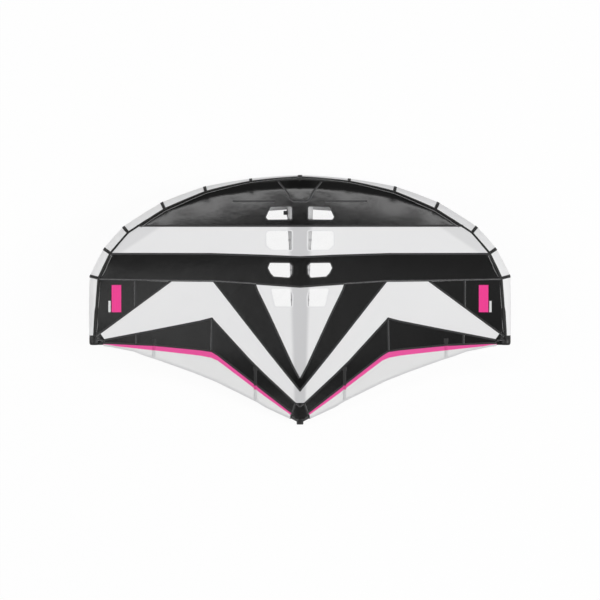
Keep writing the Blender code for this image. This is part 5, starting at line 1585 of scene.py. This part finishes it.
# Zip slider: a die-cast body over the teeth, which it holds from both sides, with a bridge and a thin
# pull tab lying back along the zip.
STEEL = Finish("brushed_stainless", Metallic=1.0, Base_Color=(0.6, 0.6, 0.6))
STEEL.feed(STEEL.shader, {"Roughness": 0.22 + 0.14 * STEEL.clouds(STEEL.spot(), 0.0008, 3.0)})
SLIDER_LENGTH = 0.014
SLIDER_WIDTH = 0.011
PULL_LENGTH = 0.024
END_WIDTH = 0.0038
END_STEPS = 6
EASE_STEPS = 8
pull_end = SLIDER_LENGTH + PULL_LENGTH - END_WIDTH / 2
SHOULDER_WIDTHS = ((0.0016, 0.0032), (0.0055, SLIDER_WIDTH / 2), (0.0105, SLIDER_WIDTH / 2),
                   (SLIDER_LENGTH - END_WIDTH / 2, END_WIDTH))
PULL_WIDTHS = ((0.0100, 0.0022), (0.0140, 0.0030), (0.0220, 0.0025), (pull_end - 0.0060, END_WIDTH),
               (pull_end, END_WIDTH))
BRIDGE = ((0.0015, -0.0011), (0.0015, 0.0011), (0.0105, 0.0011), (0.0105, -0.0011))
SHOULDER_DEPTHS = (0, 0.0013)
BRIDGE_DEPTHS = (0.0010, 0.0030)
PULL_DEPTHS = (0.0016, 0.0028)


def rounded_plate(widths):
    """An outline eased through (along, half width) pairs on both sides of the zip, with round ends."""
    side = []
    for (a, near), (b, far) in zip(widths, widths[1:]):
        for k in range(EASE_STEPS):
            t = k / EASE_STEPS
            side.append((a + (b - a) * t, near + (far - near) * (1 - math.cos(math.pi * t)) / 2))
    side.append(widths[-1])
    turns = [math.pi / 2 * k / END_STEPS for k in range(1, END_STEPS)]
    first, last = [[(along - way * half / 2 * math.cos(turn), half * math.sin(turn)) for turn in turns]
                   for way, (along, half) in ((1, side[0]), (-1, side[-1]))]
    side = first + side + last[::-1]
    return side + [(along, -half) for along, half in reversed(side)]


def zip_plate(name, outline, top, bottom, edge=EDGE_BREAK):
    """A flat part of the slider from its outline, between two depths below the teeth, with broken edges."""
    middle = sum((Vector(p) for p in outline), Vector((0, 0))) / len(outline)
    rings = []
    for down, inset in ((top, edge), (top + edge, 0), (bottom - edge, 0), (bottom, edge)):
        ring = []
        for p in outline:
            spot = Vector(p)
            spot += (middle - spot).normalized() * inset
            ring.append(zip_ends[0] + zip_back * spot.x + Vector((spot.y, 0, 0))
                        + zip_down * (2 * FIT_GAP + ZIP_THICK + down))
        rings.append(ring)
    return filled(name, rings, STEEL)


slider = joined("zip_slider_casting",
                [zip_plate("shoulder", rounded_plate(SHOULDER_WIDTHS), *SHOULDER_DEPTHS),
                 zip_plate("bridge", BRIDGE, *BRIDGE_DEPTHS),
                 zip_plate("pull", rounded_plate(PULL_WIDTHS), *PULL_DEPTHS)])
fitted(slider, "steel", "zip_slider", body="slider")

# Screws, bladders and link hose: stainless screws hold the handles, and inside the sleeves the welded
# film bladders and the hose between them hold the air.
BLADDER = Finish("bladder_film", Roughness=0.35)
haze = BLADDER.clouds(BLADDER.spot(), 0.05)
BLADDER.feed(BLADDER.shader, {"Base Color": BLADDER.mix(haze, (0.70, 0.71, 0.67), (0.78, 0.79, 0.75))})
KEPT = {"screw": STEEL, "bladder": BLADDER, "hose": BLADDER}
for name, made in nodes.items():
    if made.hide_render:
        continue
    chosen = next((finish for word, finish in KEPT.items() if word in name), PLASTIC)
    made.data.materials.clear()
    made.data.materials.append(chosen.material)

# Floor and studio: a plain pale floor that shows white, big softboxes high on both sides, low ones in
# front on either hand, one behind, two above for the highlights on the cloth, and a faint pale world.
FLOOR_DROP = 0.002
FLOOR_HALF = 30
FLOOR_GLOW = 0.94
WORLD_GLOW = 0.10
LAMPS = (
    ("front_box", (0, 3.6, 8.2), (0, 0.6, 0.2), 8.0, 1.2, 160),
    ("right_box", (11.0, -1.0, 10.0), (0, 0, 0.2), 6.0, 8.0, 1150),
    ("left_box", (-11.0, -1.0, 10.0), (0, 0, 0.2), 6.0, 8.0, 620),
    ("left_low_box", (-8.0, 5.0, 2.6), (-1.0, 0.3, 0.2), 3.0, 2.0, 170),
    ("right_low_box", (7.0, 6.5, 2.6), (1.0, 0.3, 0.2), 3.0, 2.0, 45),
    ("rear_box", (0, -7.0, 5.5), (0, 0, 0.2), 6.0, 2.0, 120),
    ("top_box", (0.98, -2.2, 8.5), (0.98, -2.2, 0.2), 1.45, 5.4, 32),
)
floor_mesh = bmesh.new()
bmesh.ops.create_grid(floor_mesh, x_segments=1, y_segments=1, size=FLOOR_HALF)
FLOOR = Finish("studio_floor", Roughness=0.9, Base_Color=(0.9, 0.9, 0.9))
rays = FLOOR.node("ShaderNodeLightPath").outputs
seen = Number(FLOOR, rays["Is Camera Ray"]).high(Number(FLOOR, rays["Is Transmission Ray"]))
glow = FLOOR.node("ShaderNodeEmission", None, {"Color": (1, 1, 1), "Strength": 1.0}).outputs[0]
blend = FLOOR.node("ShaderNodeMixShader", None, {0: seen * FLOOR_GLOW, 1: FLOOR.shader.outputs[0], 2: glow})
FLOOR.tree.links.new(blend.outputs[0], FLOOR.tree.nodes["Material Output"].inputs["Surface"])
floor = placed("floor", floor_mesh, FLOOR)
floor.location.z = -FLOOR_DROP


def softbox(name, spot, aim, width, depth, power):
    """A soft lamp at a spot, turned to what it lights."""
    lamp = bpy.data.lights.new(name, "AREA")
    lamp.shape = "RECTANGLE"
    lamp.size = width
    lamp.size_y = depth
    lamp.energy = power
    made = bpy.data.objects.new(name, lamp)
    made.location = spot
    made.rotation_euler = (Vector(aim) - Vector(spot)).to_track_quat("-Z", "Y").to_euler()
    bpy.context.scene.collection.objects.link(made)


for lamp in LAMPS:
    softbox(*lamp)
world = bpy.data.worlds.new("studio")
world.use_nodes = True
world.node_tree.nodes["Background"].inputs["Color"].default_value = (1, 1, 1, 1)
world.node_tree.nodes["Background"].inputs["Strength"].default_value = WORLD_GLOW
bpy.context.scene.world = world
